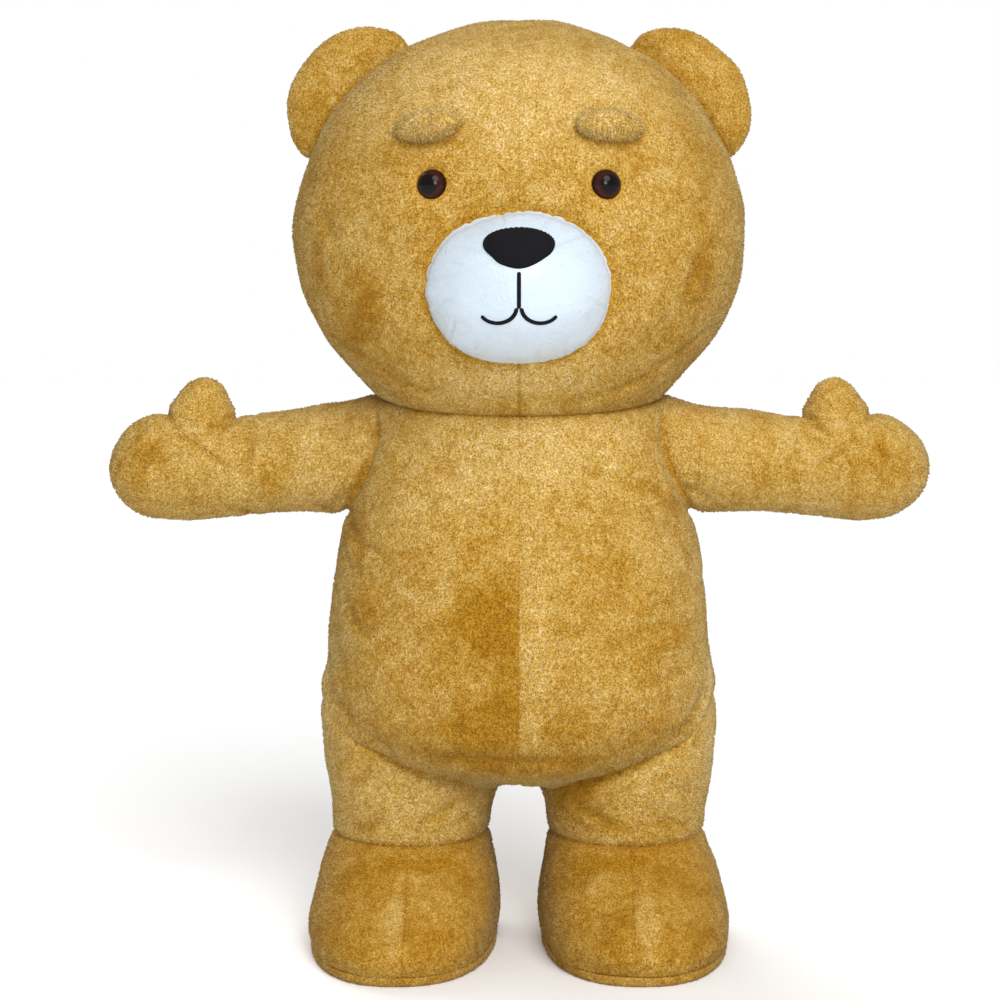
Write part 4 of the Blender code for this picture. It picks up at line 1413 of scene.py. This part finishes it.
def build_tape(art):
    """Woven zip tape with its ribs running along it."""
    base = bpy.context.scene.costume_zip.tape_colour
    art.finish(
        Base_Color=art.tint(art.noise(60.0), shade(base, 0.75), shade(base)),
        Normal=art.bump(art.weave(300.0, 420.0), 0.6, 0.0003),
        Roughness=0.8,
    )


def build_metal(art):
    """Brushed brass of the zip, duller where it is handled."""
    base = bpy.context.scene.costume_zip.metal_colour
    rub = art.noise(140.0, 3.0, 0.6)
    worn = art.fill(art.nodes.new("ShaderNodeMapRange"), Value=rub, To_Min=0.24, To_Max=0.46).outputs[0]
    art.finish(Base_Color=art.tint(rub, shade(base, 0.72), shade(base)), Roughness=worn, Metallic=1.0)


def build_floor(art):
    """Plain pale floor."""
    base = bpy.context.scene.costume_stage.floor_colour
    art.finish(Base_Color=shade(base), Roughness=0.9, Specular_IOR_Level=0.1)


class COSTUME_OT_head(Operator):
    """Make the head's four plush panels."""

    bl_idname = "costume.make_head"
    bl_label = "Head"

    def execute(self, context):
        head = FORMS["head"]
        cell = context.scene.costume_plush.cell
        panels = (
            ("head_back_left", "head side", "head middle"),
            ("head_back_right", "head middle", "head side"),
            ("head_face_right", "head side", "face middle"),
            ("head_face_left", "face middle", "head side"),
        )
        for turn, (name, low, high) in enumerate(panels):
            side = name.split("_")[-1]
            start = turn * QUARTER_TURN
            points = level_grid(head, start, start + QUARTER_TURN, cell, pointed_end=True)
            neighbours = [(FORMS["ear", side], "ear root", False)]
            if "face" in name:
                neighbours.append((FORMS["muzzle"], "muzzle rim", True))
                neighbours.append((FORMS["eye", side], "eye seat", False))
                neighbours.append((FORMS["brow", side], "brow root", False))
            seams = {"low": low, "high": high, "start": "neck"}
            patch = Patch(name, points, head, seams, neighbours, HEAD_CREASES, HEAD_SPOTS, lie_and_painted_light=-0.10)
            make_panel(name, [patch])
        return {"FINISHED"}


# Hollows down each ear: the place across, the depth and the width
EAR_FOLDS = ((0.052, 0.0075, 0.017), (-0.040, 0.0036, 0.020))


class COSTUME_OT_ears(Operator):
    """Make the front and the back of each puffy ear."""

    bl_idname = "costume.make_ears"
    bl_label = "Ears"

    def execute(self, context):
        plush = context.scene.costume_plush
        head = [(FORMS["head"], "ear root", True)]
        for side, _ in SIDES:
            ear = FORMS["ear", side]

            def folded(places, form=ear):
                local = form.local(places)
                up = clamped((local[..., 2] + 0.02) / 0.12)
                lift = np.zeros(places.shape[:-1])
                for across, depth, width in EAR_FOLDS:
                    lift -= depth * up * bell(local[..., 0] - (across - 0.25 * local[..., 2]), width)
                return lift

            for end, start in (("front", 0.0), ("back", math.pi)):
                name = f"ear_{side}_{end}"
                points = lobe_grid(ear, start, QUARTER_TURN, plush.cell, fine_end=True)
                patch = Patch(name, points, ear, {"end": "ear rim"}, head, shaping=folded, lie_and_painted_light=-0.22)
                make_panel(name, [patch], 0.75 * plush.pile_length)
        return {"FINISHED"}


def rim_puckers(points, count):
    """Small folds where the muzzle's cloth is eased into its rim, uneven in depth and length."""
    rng = np.random.default_rng(7)
    x, z = points[..., 0] - MUZZLE.middle[0], points[..., 2] - MUZZLE.middle[2]
    angle = np.arctan2(z, x)
    rim = -FORMS["head"].depth(points)
    lift = np.zeros(points.shape[:-1])
    for place in np.sort(rng.uniform(0.0, FULL_TURN, count)):
        depth = rng.uniform(0.0002, 0.0011)
        width = rng.uniform(0.016, 0.048)
        reach = rng.uniform(0.014, 0.050)
        gap = (np.mod(angle - place + math.pi, FULL_TURN) - math.pi) / width
        lift += depth * (bell(gap - 0.7) - bell(gap + 0.7)) * bell(rim, reach)
    seam = bell(points[..., 0], 0.0035) * clamped((1.320 - points[..., 2]) / 0.05)
    return lift - 0.0020 * seam * (points[..., 1] < MUZZLE.middle[1])


class COSTUME_OT_muzzle(Operator):
    """Make the muzzle of slick white cloth, with small puckers at its rim."""

    bl_idname = "costume.make_muzzle"
    bl_label = "Muzzle"

    def execute(self, context):
        muzzle = FORMS["muzzle"]
        points = lobe_grid(muzzle, 0.0, MUZZLE_END, MUZZLE_CELL)

        def shaping(places):
            drawn = rim_puckers(places, context.scene.costume_face.puckers)
            return drawn + 0.0028 - 0.0026 * unevenness(places, 0.9)

        rim = [(FORMS["head"], "muzzle rim", True)]
        patch = Patch("muzzle", points, muzzle, None, rim, MUZZLE_CREASES, shaping=shaping)
        satin = make_material("slick white cloth", build_satin)
        mesh = merged_cloth("cloth_muzzle", [patch])
        piece = add_piece("cloth_muzzle", mesh, satin, replaces=("muzzle",))
        state_sheet(piece, [patch])
        return {"FINISHED"}


def muzzle_front(x, z):
    """The y at which the muzzle's cloth is met from the front, in the tables' frame."""
    cloth = bpy.data.objects["cloth_muzzle"]
    met, place, _, _ = cloth.ray_cast(Vector((x, -2.0, z)), Vector((0.0, 1.0, 0.0)))
    if not met:
        raise ValueError(f"the muzzle isn't met at {x:.3f}, {z:.3f}")
    return place.y - SEAM_PLANE


def mouth_lines(radius):
    """The mouth's lines across the front: the stem, then each side's curl."""
    stem = np.stack([np.zeros(40), np.linspace(MOUTH_TOP + 0.004, MOUTH_HEIGHT - 0.002, 40)], axis=1)
    lines = {"mouth_stem": stem}
    angle = math.pi + MOUTH_SWEEP * np.linspace(0.0, 1.0, 70)
    across = 0.0006 + radius + MOUTH_CURL * (1.0 + np.cos(angle))
    height = MOUTH_HEIGHT + 0.8 * MOUTH_CURL * np.sin(angle)
    for side, sign in SIDES:
        lines["mouth_" + side] = np.stack([sign * across, height], axis=1)
    return lines


class COSTUME_OT_nose_and_mouth(Operator):
    """Make the padded nose with its stitched edge, and the cords of the mouth."""

    bl_idname = "costume.make_nose_and_mouth"
    bl_label = "Nose and mouth"

    def execute(self, context):
        radius = context.scene.costume_face.cord_radius
        black = make_material("black cloth", build_black_cloth)

        def puffed(points, lean):
            return 0.0008 * unevenness(points, 2.5) - 0.0009 * bell(lean - 1.35, 0.14)

        nose = closed_lobe("padded_nose", FORMS["nose"], 36, 64, puffed)
        add_piece("padded_nose", nose, black, replaces=("nose",))
        self.stitch_rim(black)
        for name, line in mouth_lines(radius).items():
            mesh = self.cord("cord_" + name, line, radius)
            add_piece("cord_" + name, mesh, black, replaces=(name,))
        return {"FINISHED"}

    def cord(self, name, line, radius):
        """A twisted cord that lies on the muzzle, with round ends."""
        y = np.array([muzzle_front(x, z) for x, z in line]) + 0.0010
        path = np.stack([line[:, 0], y, line[:, 1]], axis=1)
        way = np.concatenate([[0.0], np.cumsum(steps(path))])
        fine = np.linspace(0.0, way[-1], max(30, round(way[-1] / 0.0007)))
        path = np.stack([np.interp(fine, way, path[:, k]) for k in range(3)], axis=1)
        ends = np.minimum(fine, way[-1] - fine) / radius
        taper = np.sqrt(np.clip(1.0 - (1.0 - np.minimum(ends, 1.0)) ** 2, 0.06, 1.0))
        threads = 1.0 + 0.055 * np.sin(FULL_TURN * fine / 0.0024)
        mesh = new_mesh(name, *tube_points(path, radius * taper * threads, 14))
        set_pile(mesh)
        return mesh

    def stitch_rim(self, material, count=52):
        """Short stitches where the nose is sewn down."""
        leans = np.linspace(0.2, math.pi - 0.2, 160)
        points, faces, first = [], [], 0
        for k in range(count):
            path = []
            for share in (0.18, 0.5, 0.82):
                ring = FORMS["nose"].points(FULL_TURN * (k + share) / count, leans)
                outside = -FORMS["muzzle"].depth(ring) - 0.0028
                path.append(ring[int(np.argmin(np.abs(outside)))])
            verts, corners = tube_points(np.array(path), [0.0006, 0.0009, 0.0006], 6)
            points.append(verts)
            faces += [[first + corner for corner in face] for face in corners]
            first += len(verts)
        joined = new_mesh("nose_stitches", np.vstack(points), faces)
        set_pile(joined)
        add_piece("nose_stitches", joined, material)


class COSTUME_OT_eyes(Operator):
    """Make the glossy domed eyes."""

    bl_idname = "costume.make_eyes"
    bl_label = "Eyes"

    def execute(self, context):
        glossy = make_material("glossy brown", build_eye)
        for side, _ in SIDES:
            mesh = closed_lobe("dome_eye_" + side, FORMS["eye", side], 40, 56)
            add_piece("dome_eye_" + side, mesh, glossy, replaces=("eye_" + side,))
        return {"FINISHED"}


class COSTUME_OT_brows(Operator):
    """Make the padded brows with their longer pile."""

    bl_idname = "costume.make_brows"
    bl_label = "Brows"

    def execute(self, context):
        for side, _ in SIDES:
            form = FORMS["brow", side]
            name = "brow_" + side
            points = lobe_grid(form, 0.0, math.pi, BROW_CELL)
            patch = Patch(name, points, form, None, [(FORMS["head"], "brow root", True)], lie_and_painted_light=0.5)
            patch.kept[:] = True
            mesh = merged_cloth("padded_" + name, [patch])
            piece = add_piece("padded_" + name, mesh, plush_material(), replaces=(name,))
            make_pile("pile_" + name, [patch], context.scene.costume_plush.brow_length)
        return {"FINISHED"}


class COSTUME_OT_torso(Operator):
    """Make the torso's four panels, with armholes, leg openings and the slot for the zip."""

    bl_idname = "costume.make_torso"
    bl_label = "Torso"

    def execute(self, context):
        torso = FORMS["torso"]
        along = torso.profile
        heights, _ = back_line()
        fade = clamped(np.minimum(heights - ZIP_BOTTOM + 0.006, ZIP_TOP + 0.006 - heights) / 0.010)
        slot = SLOT_HALF * fade * fade * (3.0 - 2.0 * fade)
        opening = QUARTER_TURN - torso.girth_angle(along, slot)
        panels = (
            ("body_back_left", 0.0, (along, QUARTER_TURN - opening), "flank", "back"),
            ("body_back_right", (along, QUARTER_TURN + opening), math.pi, "back", "flank"),
            ("body_front_right", math.pi, 3.0 * QUARTER_TURN, "flank", "belly"),
            ("body_front_left", 3.0 * QUARTER_TURN, FULL_TURN, "belly", "flank"),
        )
        for name, low, high, low_seam, high_seam in panels:
            side = name.split("_")[-1]
            points = level_grid(torso, low, high, context.scene.costume_plush.cell, pointed_start=True)
            neighbours = [(FORMS["arm", side], "armhole", True), (FORMS["leg", side], "leg top", True)]
            seams = {"low": low_seam, "high": high_seam, "end": "neck"}
            make_panel(name, [Patch(name, points, torso, seams, neighbours, TORSO_CREASES, TORSO_SPOTS)])
        return {"FINISHED"}


class COSTUME_OT_arms(Operator):
    """Make the front and the back of each arm, with its mitten and thumb."""

    bl_idname = "costume.make_arms"
    bl_label = "Arms"

    def execute(self, context):
        cell = 0.6 * context.scene.costume_plush.cell
        seams = {"low": "arm", "high": "arm"}
        for side, _ in SIDES:
            arm, thumb = FORMS["arm", side], FORMS["thumb", side]
            trunk = [(FORMS["torso"], "armhole", True), (thumb, "thumb root", True)]
            for end, low, thumb_low in (("front", QUARTER_TURN, math.pi), ("back", -QUARTER_TURN, 0.0)):
                name = f"arm_{side}_{end}"
                points = level_grid(arm, low, low + math.pi, cell, arm.along(0.262), True, True)
                sleeve = Patch(name, points, arm, seams, trunk, ARM_CREASES, ARM_SPOTS, lie_and_painted_light=0.17)
                points = level_grid(thumb, thumb_low, thumb_low + math.pi, cell, pointed_end=True)
                digit = Patch(name, points, thumb, seams, [(arm, "thumb root", True)], lie_and_painted_light=0.05)
                make_panel(name, [sleeve, digit])
        return {"FINISHED"}


class COSTUME_OT_legs(Operator):
    """Make the front and the back of each leg."""

    bl_idname = "costume.make_legs"
    bl_label = "Legs"

    def execute(self, context):
        seams = {"low": "leg", "high": "leg", "start": "ankle"}
        trunk = [(FORMS["torso"], "leg top", True)]
        for side, _ in SIDES:
            leg = FORMS["leg", side]
            for end, low in (("front", math.pi), ("back", 0.0)):
                name = f"leg_{side}_{end}"
                points = level_grid(leg, low, low + math.pi, context.scene.costume_plush.cell)
                make_panel(name, [Patch(name, points, leg, seams, trunk, LEG_CREASES, LEG_SPOTS, lie_and_painted_light=0.15)])
        return {"FINISHED"}


class COSTUME_OT_feet(Operator):
    """Make the inner and the outer panel of each foot."""

    bl_idname = "costume.make_feet"
    bl_label = "Feet"

    def execute(self, context):
        seams = {"low": "foot", "high": "foot", "start": "welt", "end": "ankle"}
        for side, _ in SIDES:
            foot = FORMS["foot", side]
            turn = foot.girth_angle(foot.profile, FOOT_SEAM)
            for place, low, high in (("inner", turn, FULL_TURN - turn), ("outer", -turn, turn)):
                name = f"foot_{side}_{place}"
                low, high = (foot.profile, low), (foot.profile, high)
                points = level_grid(foot, low, high, context.scene.costume_plush.cell)
                # The feet are set darker than the legs, -0.50: painted shade low on the costume
                patch = Patch(name, points, foot, seams, (), FOOT_CREASES, FOOT_SPOTS, lie_and_painted_light=-0.50)
                make_panel(name, [patch])
        return {"FINISHED"}


class COSTUME_OT_soles(Operator):
    """Make the padded soles with pile round their edges."""

    bl_idname = "costume.make_soles"
    bl_label = "Soles"

    def execute(self, context):
        top = 0.0194
        shares = np.array([0.0, 0.35, 0.7, 0.93])[:, None, None]
        for side, _ in SIDES:
            sole = FORMS["sole", side]
            name = "sole_" + side
            along = np.linspace(0.0, sole.profile[-1], 7)
            ring = sole.points(np.linspace(0.0, FULL_TURN, 161)[None], along[:, None])
            # The sole's pile is set darker, -0.4: painted shade at the bottom by the floor
            patch = Patch(name, ring, sole, lie_and_painted_light=-0.4)
            patch.points = ring - patch.normals * 0.0022
            patch.points[..., 2] = np.clip(ring[..., 2], 0.0, top)
            patch.points[0, :, 2] = 0.0
            middle = patch.points[0, :-1].mean(axis=0)
            bottom = middle + (patch.points[0] - middle) * shares
            lid = middle + (patch.points[-1] - middle) * shares[::-1]
            lid[..., 2] = top
            grid = np.concatenate([bottom, patch.points, lid])
            faces = grid_faces(grid.shape, patch.turned).reshape(-1, 4)
            mesh = new_mesh("padded_" + name, grid, faces.tolist())
            # The padding is set darker too: painted shade at the bottom by the floor
            set_pile(mesh, 0.16, 0.4, 0.3)
            weld(mesh, 0.0001)
            piece = add_piece("padded_" + name, mesh, plush_material(), replaces=(name,))
            # Shorter, darker pile on the lowest rows: partly painted shade by the floor
            patch.short[:2] = 0.5
            make_pile("pile_" + name, [patch], context.scene.costume_plush.pile_length)
        return {"FINISHED"}


def back_line():
    """Heights down the middle of the back and the torso's depth there."""
    torso = FORMS["torso"]
    points = torso.points(np.full(torso.profile.shape, QUARTER_TURN), torso.profile)
    return points[:, 2], points[:, 1]


def back_depth(height):
    """The torso's depth in the middle of the back at a height."""
    return np.interp(height, *back_line())


def box_points(middle, size):
    """The eight corners of a box."""
    corners = np.array([(x, y, z) for x in (-0.5, 0.5) for y in (-0.5, 0.5) for z in (-0.5, 0.5)])
    return np.asarray(middle) + corners * np.asarray(size)


BOX_FACES = np.array([(0, 1, 3, 2), (4, 6, 7, 5), (0, 4, 5, 1), (2, 3, 7, 6), (0, 2, 6, 4), (1, 5, 7, 3)])


def arc(radius, middle, start, count):
    """Points round an arc, from a start angle on: a half turn, or all round where it starts at nought."""
    turn = math.pi if start else FULL_TURN
    angles = start + turn * np.arange(count) / (count - 1 if start else count)
    return [(radius * math.cos(angle), middle + radius * math.sin(angle)) for angle in angles]


class COSTUME_OT_zip(Operator):
    """Make the zip down the back: its tape, teeth, slider and pull tab."""

    bl_idname = "costume.make_zip"
    bl_label = "Zip"

    def execute(self, context):
        self.make_tape()
        self.make_teeth(context.scene.costume_zip.pitch)
        self.make_slider_and_pull()
        return {"FINISHED"}

    def make_tape(self):
        """A strip of woven tape behind the slot."""
        z = np.linspace(ZIP_BOTTOM - TAPE_MARGIN, ZIP_TOP + TAPE_MARGIN, 90)
        across, height = np.meshgrid(np.linspace(-TAPE_HALF, TAPE_HALF, 9), z)
        sag = 0.0004 * np.sin(height * 210.0) * np.abs(across) / TAPE_HALF
        y = back_depth(height) - PLUSH - 0.0006 + sag
        points = np.stack([across, y, height], axis=-1)
        mesh = new_mesh("woven_zip_tape", points, grid_faces(across.shape, True).reshape(-1, 4).tolist())
        tape = make_material("zip tape", build_tape)
        piece = add_piece("woven_zip_tape", mesh, tape, replaces=("zip_tape",))

    def make_teeth(self, pitch):
        """Brass teeth from each side in turn, parted above the slider, and the stops."""
        tooth, crown, stop, parted_and_seam_shade = (0.0044, 0.0024), (0.0034, 0.0006), (0.0068, 0.0026), (0.0036, 0.0024)
        solids = []

        def add_solid(x, z, size, proud=0.0014):
            solids.append(box_points((x, float(back_depth(z)) - PLUSH + proud, z), size))

        for k in range(int((SLIDER_HEIGHT - 0.012 - ZIP_BOTTOM) / (0.5 * pitch))):
            z = ZIP_BOTTOM + 0.006 + 0.5 * pitch * k
            x = 0.0014 if k % 2 else -0.0014
            add_solid(x, z, (*tooth, 0.42 * pitch))
            add_solid(x, z, (*crown, 0.26 * pitch), proud=0.0028)
        for low, high in ((ZIP_BOTTOM + 0.001, ZIP_BOTTOM + 0.0045), (ZIP_TOP - 0.0045, ZIP_TOP - 0.001)):
            add_solid(0.0, 0.5 * (low + high), (*stop, high - low), proud=0.0013)
        for side in (-1.0, 1.0):
            for k in range(7):
                z = SLIDER_HEIGHT + 0.010 + 0.0026 * k
                add_solid(side * (0.0024 + 0.00016 * k), z, (*parted_and_seam_shade, 0.0013))
        faces = np.vstack([BOX_FACES + 8 * k for k in range(len(solids))])
        mesh = new_mesh("brass_zip_teeth", np.vstack(solids), faces.tolist(), smooth=False)
        add_piece("brass_zip_teeth", mesh, self.brass(), replaces=("zip_chain",))

    def brass(self):
        """The metal of the teeth, slider and pull tab."""
        return make_material("zip brass", build_metal)

    def make_slider_and_pull(self):
        """A shaped slider with lugs, and a pull tab with a hole that turns on its pin."""
        joint = next(j for j in frame["record"]["behaviour"]["joints"] if j["child"] == PULL)
        rise = float(back_depth(SLIDER_HEIGHT + 0.01) - back_depth(SLIDER_HEIGHT - 0.01))
        place = Matrix.Translation(joint["pos_m"]) @ Matrix.Rotation(-math.atan2(rise, 0.02), 4, "X")
        bm = bmesh.new()
        edge = [(0.0040, 0.0050), (0.0055, 0.0045), (0.0055, -0.0010), (0.0046, -0.0100), (0.0038, -0.0128)]
        mirrored = [(-x, z) for x, z in edge]
        outline = [*mirrored[1::-1], (0.0, 0.0052), *edge, *mirrored[:1:-1]]
        self.slab(bm, *([(x, y, z) for x, z in outline] for y in (-0.0066, -0.0034)))
        cheek = (
            (-0.0034, 0.0026), (-0.0010, 0.0030), (0.0016, 0.0022), (0.0026, 0.0),
            (0.0016, -0.0022), (-0.0010, -0.0030), (-0.0034, -0.0030),
        )
        for side in (-1.0, 1.0):
            self.slab(bm, *([(side * x, y, z) for y, z in cheek] for x in (0.0039, 0.0055)))
        pin = {"segments": 20, "radius1": 0.0011, "radius2": 0.0011, "depth": 0.0098}
        bmesh.ops.create_cone(bm, cap_ends=True, matrix=Matrix.Rotation(QUARTER_TURN, 4, "Y"), **pin)
        slider = self.finish_metal(bm, "brass_zip_slider", place)
        add_piece("brass_zip_slider", slider, self.brass(), replaces=("zip_slider",))
        bm = bmesh.new()
        neck = ((0.0038, -0.0120), (0.0030, -0.0095), (0.0030, -0.0018))
        outline = arc(0.0040, -0.0300, math.pi, 25) + [*neck] + [(-x, z) for x, z in neck[::-1]]
        self.holed_plate(bm, outline, (0.0, -0.0290), 0.0016, -0.0008, 0.0008)
        self.eye_tube(bm, arc(1.0, 0.0, 0.0, 24), 0.0014, 0.0026, 0.0036)
        pull = self.finish_metal(bm, "brass_zip_pull", place)
        add_piece("brass_zip_pull", pull, self.brass(), body=PULL, replaces=("zip_pull",))

    def join_rings(self, bm, one, other):
        """Quads from one ring of points to another."""
        for k in range(len(one)):
            after = (k + 1) % len(one)
            bm.faces.new((one[after], one[k], other[k], other[after]))

    def slab(self, bm, near, far):
        """A flat plate between two outlines."""
        near, far = ([bm.verts.new(point) for point in ring] for ring in (near, far))
        bm.faces.new(near)
        bm.faces.new(far[::-1])
        self.join_rings(bm, near, far)

    def holed_plate(self, bm, outline, hole, radius, near, far):
        """A plate with a round hole through it."""
        middle = np.array(hole)
        inner = [tuple(middle + radius * unit(np.array(point) - middle)) for point in outline]
        rings = []
        for y in (near, far):
            for shape in (outline, inner):
                rings.append([bm.verts.new((x, y, z)) for x, z in shape])
        low, low_hole, high, high_hole = rings
        for one, other in ((low_hole, low), (high, high_hole), (low, high), (high_hole, low_hole)):
            self.join_rings(bm, one, other)

    def eye_tube(self, bm, ring, inner, outer, half):
        """The rolled eye of the pull tab, open round its pin."""
        sections = ((inner, -half), (outer, -half), (outer, half), (inner, half))
        rings = [[bm.verts.new((x, radius * a, radius * b)) for a, b in ring] for radius, x in sections]
        for number, one in enumerate(rings):
            self.join_rings(bm, rings[(number + 1) % 4], one)

    def finish_metal(self, bm, name, place):
        """Rounds the edges a little and puts the shape in its place."""
        bmesh.ops.recalc_face_normals(bm, faces=bm.faces)
        edges = [edge for edge in bm.edges if edge.is_manifold and edge.calc_face_angle(0.0) > 0.9]
        bmesh.ops.bevel(
            bm, geom=edges, offset=0.00022, segments=2, affect="EDGES", profile=0.6, clamp_overlap=True
        )
        bm.transform(place)
        mesh = bpy.data.meshes.new(name)
        bm.to_mesh(mesh)
        bm.free()
        mesh.shade_smooth()
        mesh.set_sharp_from_angle(angle=math.radians(35.0))
        return mesh


class COSTUME_OT_stage(Operator):
    """Make the pale floor, the soft lights and the camera."""

    bl_idname = "costume.make_stage"
    bl_label = "Stage"

    def execute(self, context):
        stage = context.scene.costume_stage
        bpy.ops.mesh.primitive_plane_add(size=80.0, location=(0.0, 0.0, 0.0))
        floor = context.object
        floor.name = "pale_floor"
        floor.data.materials.append(make_material("pale floor", build_floor))
        self.make_surround(context, stage.sky_strength)
        for name, power, place in (
            ("soft sun", stage.sun_strength, (0.30, -0.90, 0.88)),
            ("back sun", stage.back_strength, (-0.45, 0.70, 0.9)),
        ):
            self.add_light(name, "SUN", power, place, (0.0, 0.0, 0.0)).angle = math.radians(40.0)
        self.add_light("key light", "AREA", stage.key_power, (0.45, -2.9, 2.2), (0.0, 0.0, 1.40)).size = 0.9
        camera = bpy.data.objects.new("camera", bpy.data.cameras.new("camera"))
        context.scene.collection.objects.link(camera)
        camera.location = (0.0, SEAM_PLANE - stage.camera_distance, stage.camera_height)
        camera.rotation_euler = (QUARTER_TURN - stage.camera_pitch, 0.0, 0.0)
        camera.data.lens = 75.06
        camera.data.sensor_width = 36.0
        camera.data.shift_x = -0.019
        context.scene.camera = camera
        context.scene.view_settings.view_transform = "Standard"
        return {"FINISHED"}

    def make_surround(self, context, strength):
        """A white surround that lights the costume less than it shows."""
        world = bpy.data.worlds.new("white surround")
        context.scene.world = world
        world.use_nodes = True
        art = Shading(world.node_tree)
        seen = art.nodes.new("ShaderNodeLightPath").outputs["Is Camera Ray"]
        total = art.maths("ADD", art.maths("MULTIPLY", seen, 1.0 - strength), strength)
        art.fill(art.nodes["Background"], Color=(1.0, 1.0, 1.0), Strength=total)

    def add_light(self, name, kind, power, place, target):
        """A light that shines from a place to a target."""
        light = bpy.data.lights.new(name, kind)
        light.energy = power
        made = bpy.data.objects.new(name, light)
        bpy.context.scene.collection.objects.link(made)
        made.location = place
        made.rotation_euler = (Vector(target) - Vector(place)).to_track_quat("-Z", "Y").to_euler()
        return light


STEPS = (
    COSTUME_OT_stage,
    COSTUME_OT_head,
    COSTUME_OT_ears,
    COSTUME_OT_muzzle,
    COSTUME_OT_nose_and_mouth,
    COSTUME_OT_eyes,
    COSTUME_OT_brows,
    COSTUME_OT_torso,
    COSTUME_OT_arms,
    COSTUME_OT_legs,
    COSTUME_OT_feet,
    COSTUME_OT_soles,
    COSTUME_OT_zip,
)


class COSTUME_PT_sidebar(Panel):
    """The costume's pieces and their sizes."""

    bl_label = "Bear Mascot Costume"
    bl_idname = "COSTUME_PT_sidebar"
    bl_space_type = "VIEW_3D"
    bl_region_type = "UI"
    bl_category = "Costume"

    def draw(self, context):
        for step in STEPS:
            self.layout.operator(step.bl_idname, text=step.bl_label)
        for label in SETTINGS:
            group = getattr(context.scene, label)
            box = self.layout.box()
            for name in group.bl_rna.properties.keys():
                if name not in ("name", "rna_type"):
                    box.prop(group, name)


SETTINGS = {
    "costume_plush": PlushSettings,
    "costume_face": FaceSettings,
    "costume_zip": ZipSettings,
    "costume_stage": StageSettings,
}


def register():
    """Register the settings, the steps and the sidebar."""
    for group in (*SETTINGS.values(), *STEPS, COSTUME_PT_sidebar):
        bpy.utils.register_class(group)
    for label, group in SETTINGS.items():
        setattr(bpy.types.Scene, label, PointerProperty(type=group))


def unregister():
    """Remove what register added."""
    for label in SETTINGS:
        delattr(bpy.types.Scene, label)
    for group in reversed((*SETTINGS.values(), *STEPS, COSTUME_PT_sidebar)):
        bpy.utils.unregister_class(group)


def main():
    """Make every piece in order."""
    register()
    for step in STEPS:
        group, name = step.bl_idname.split(".")
        getattr(getattr(bpy.ops, group), name)()


if __name__ == "__main__":
    main()
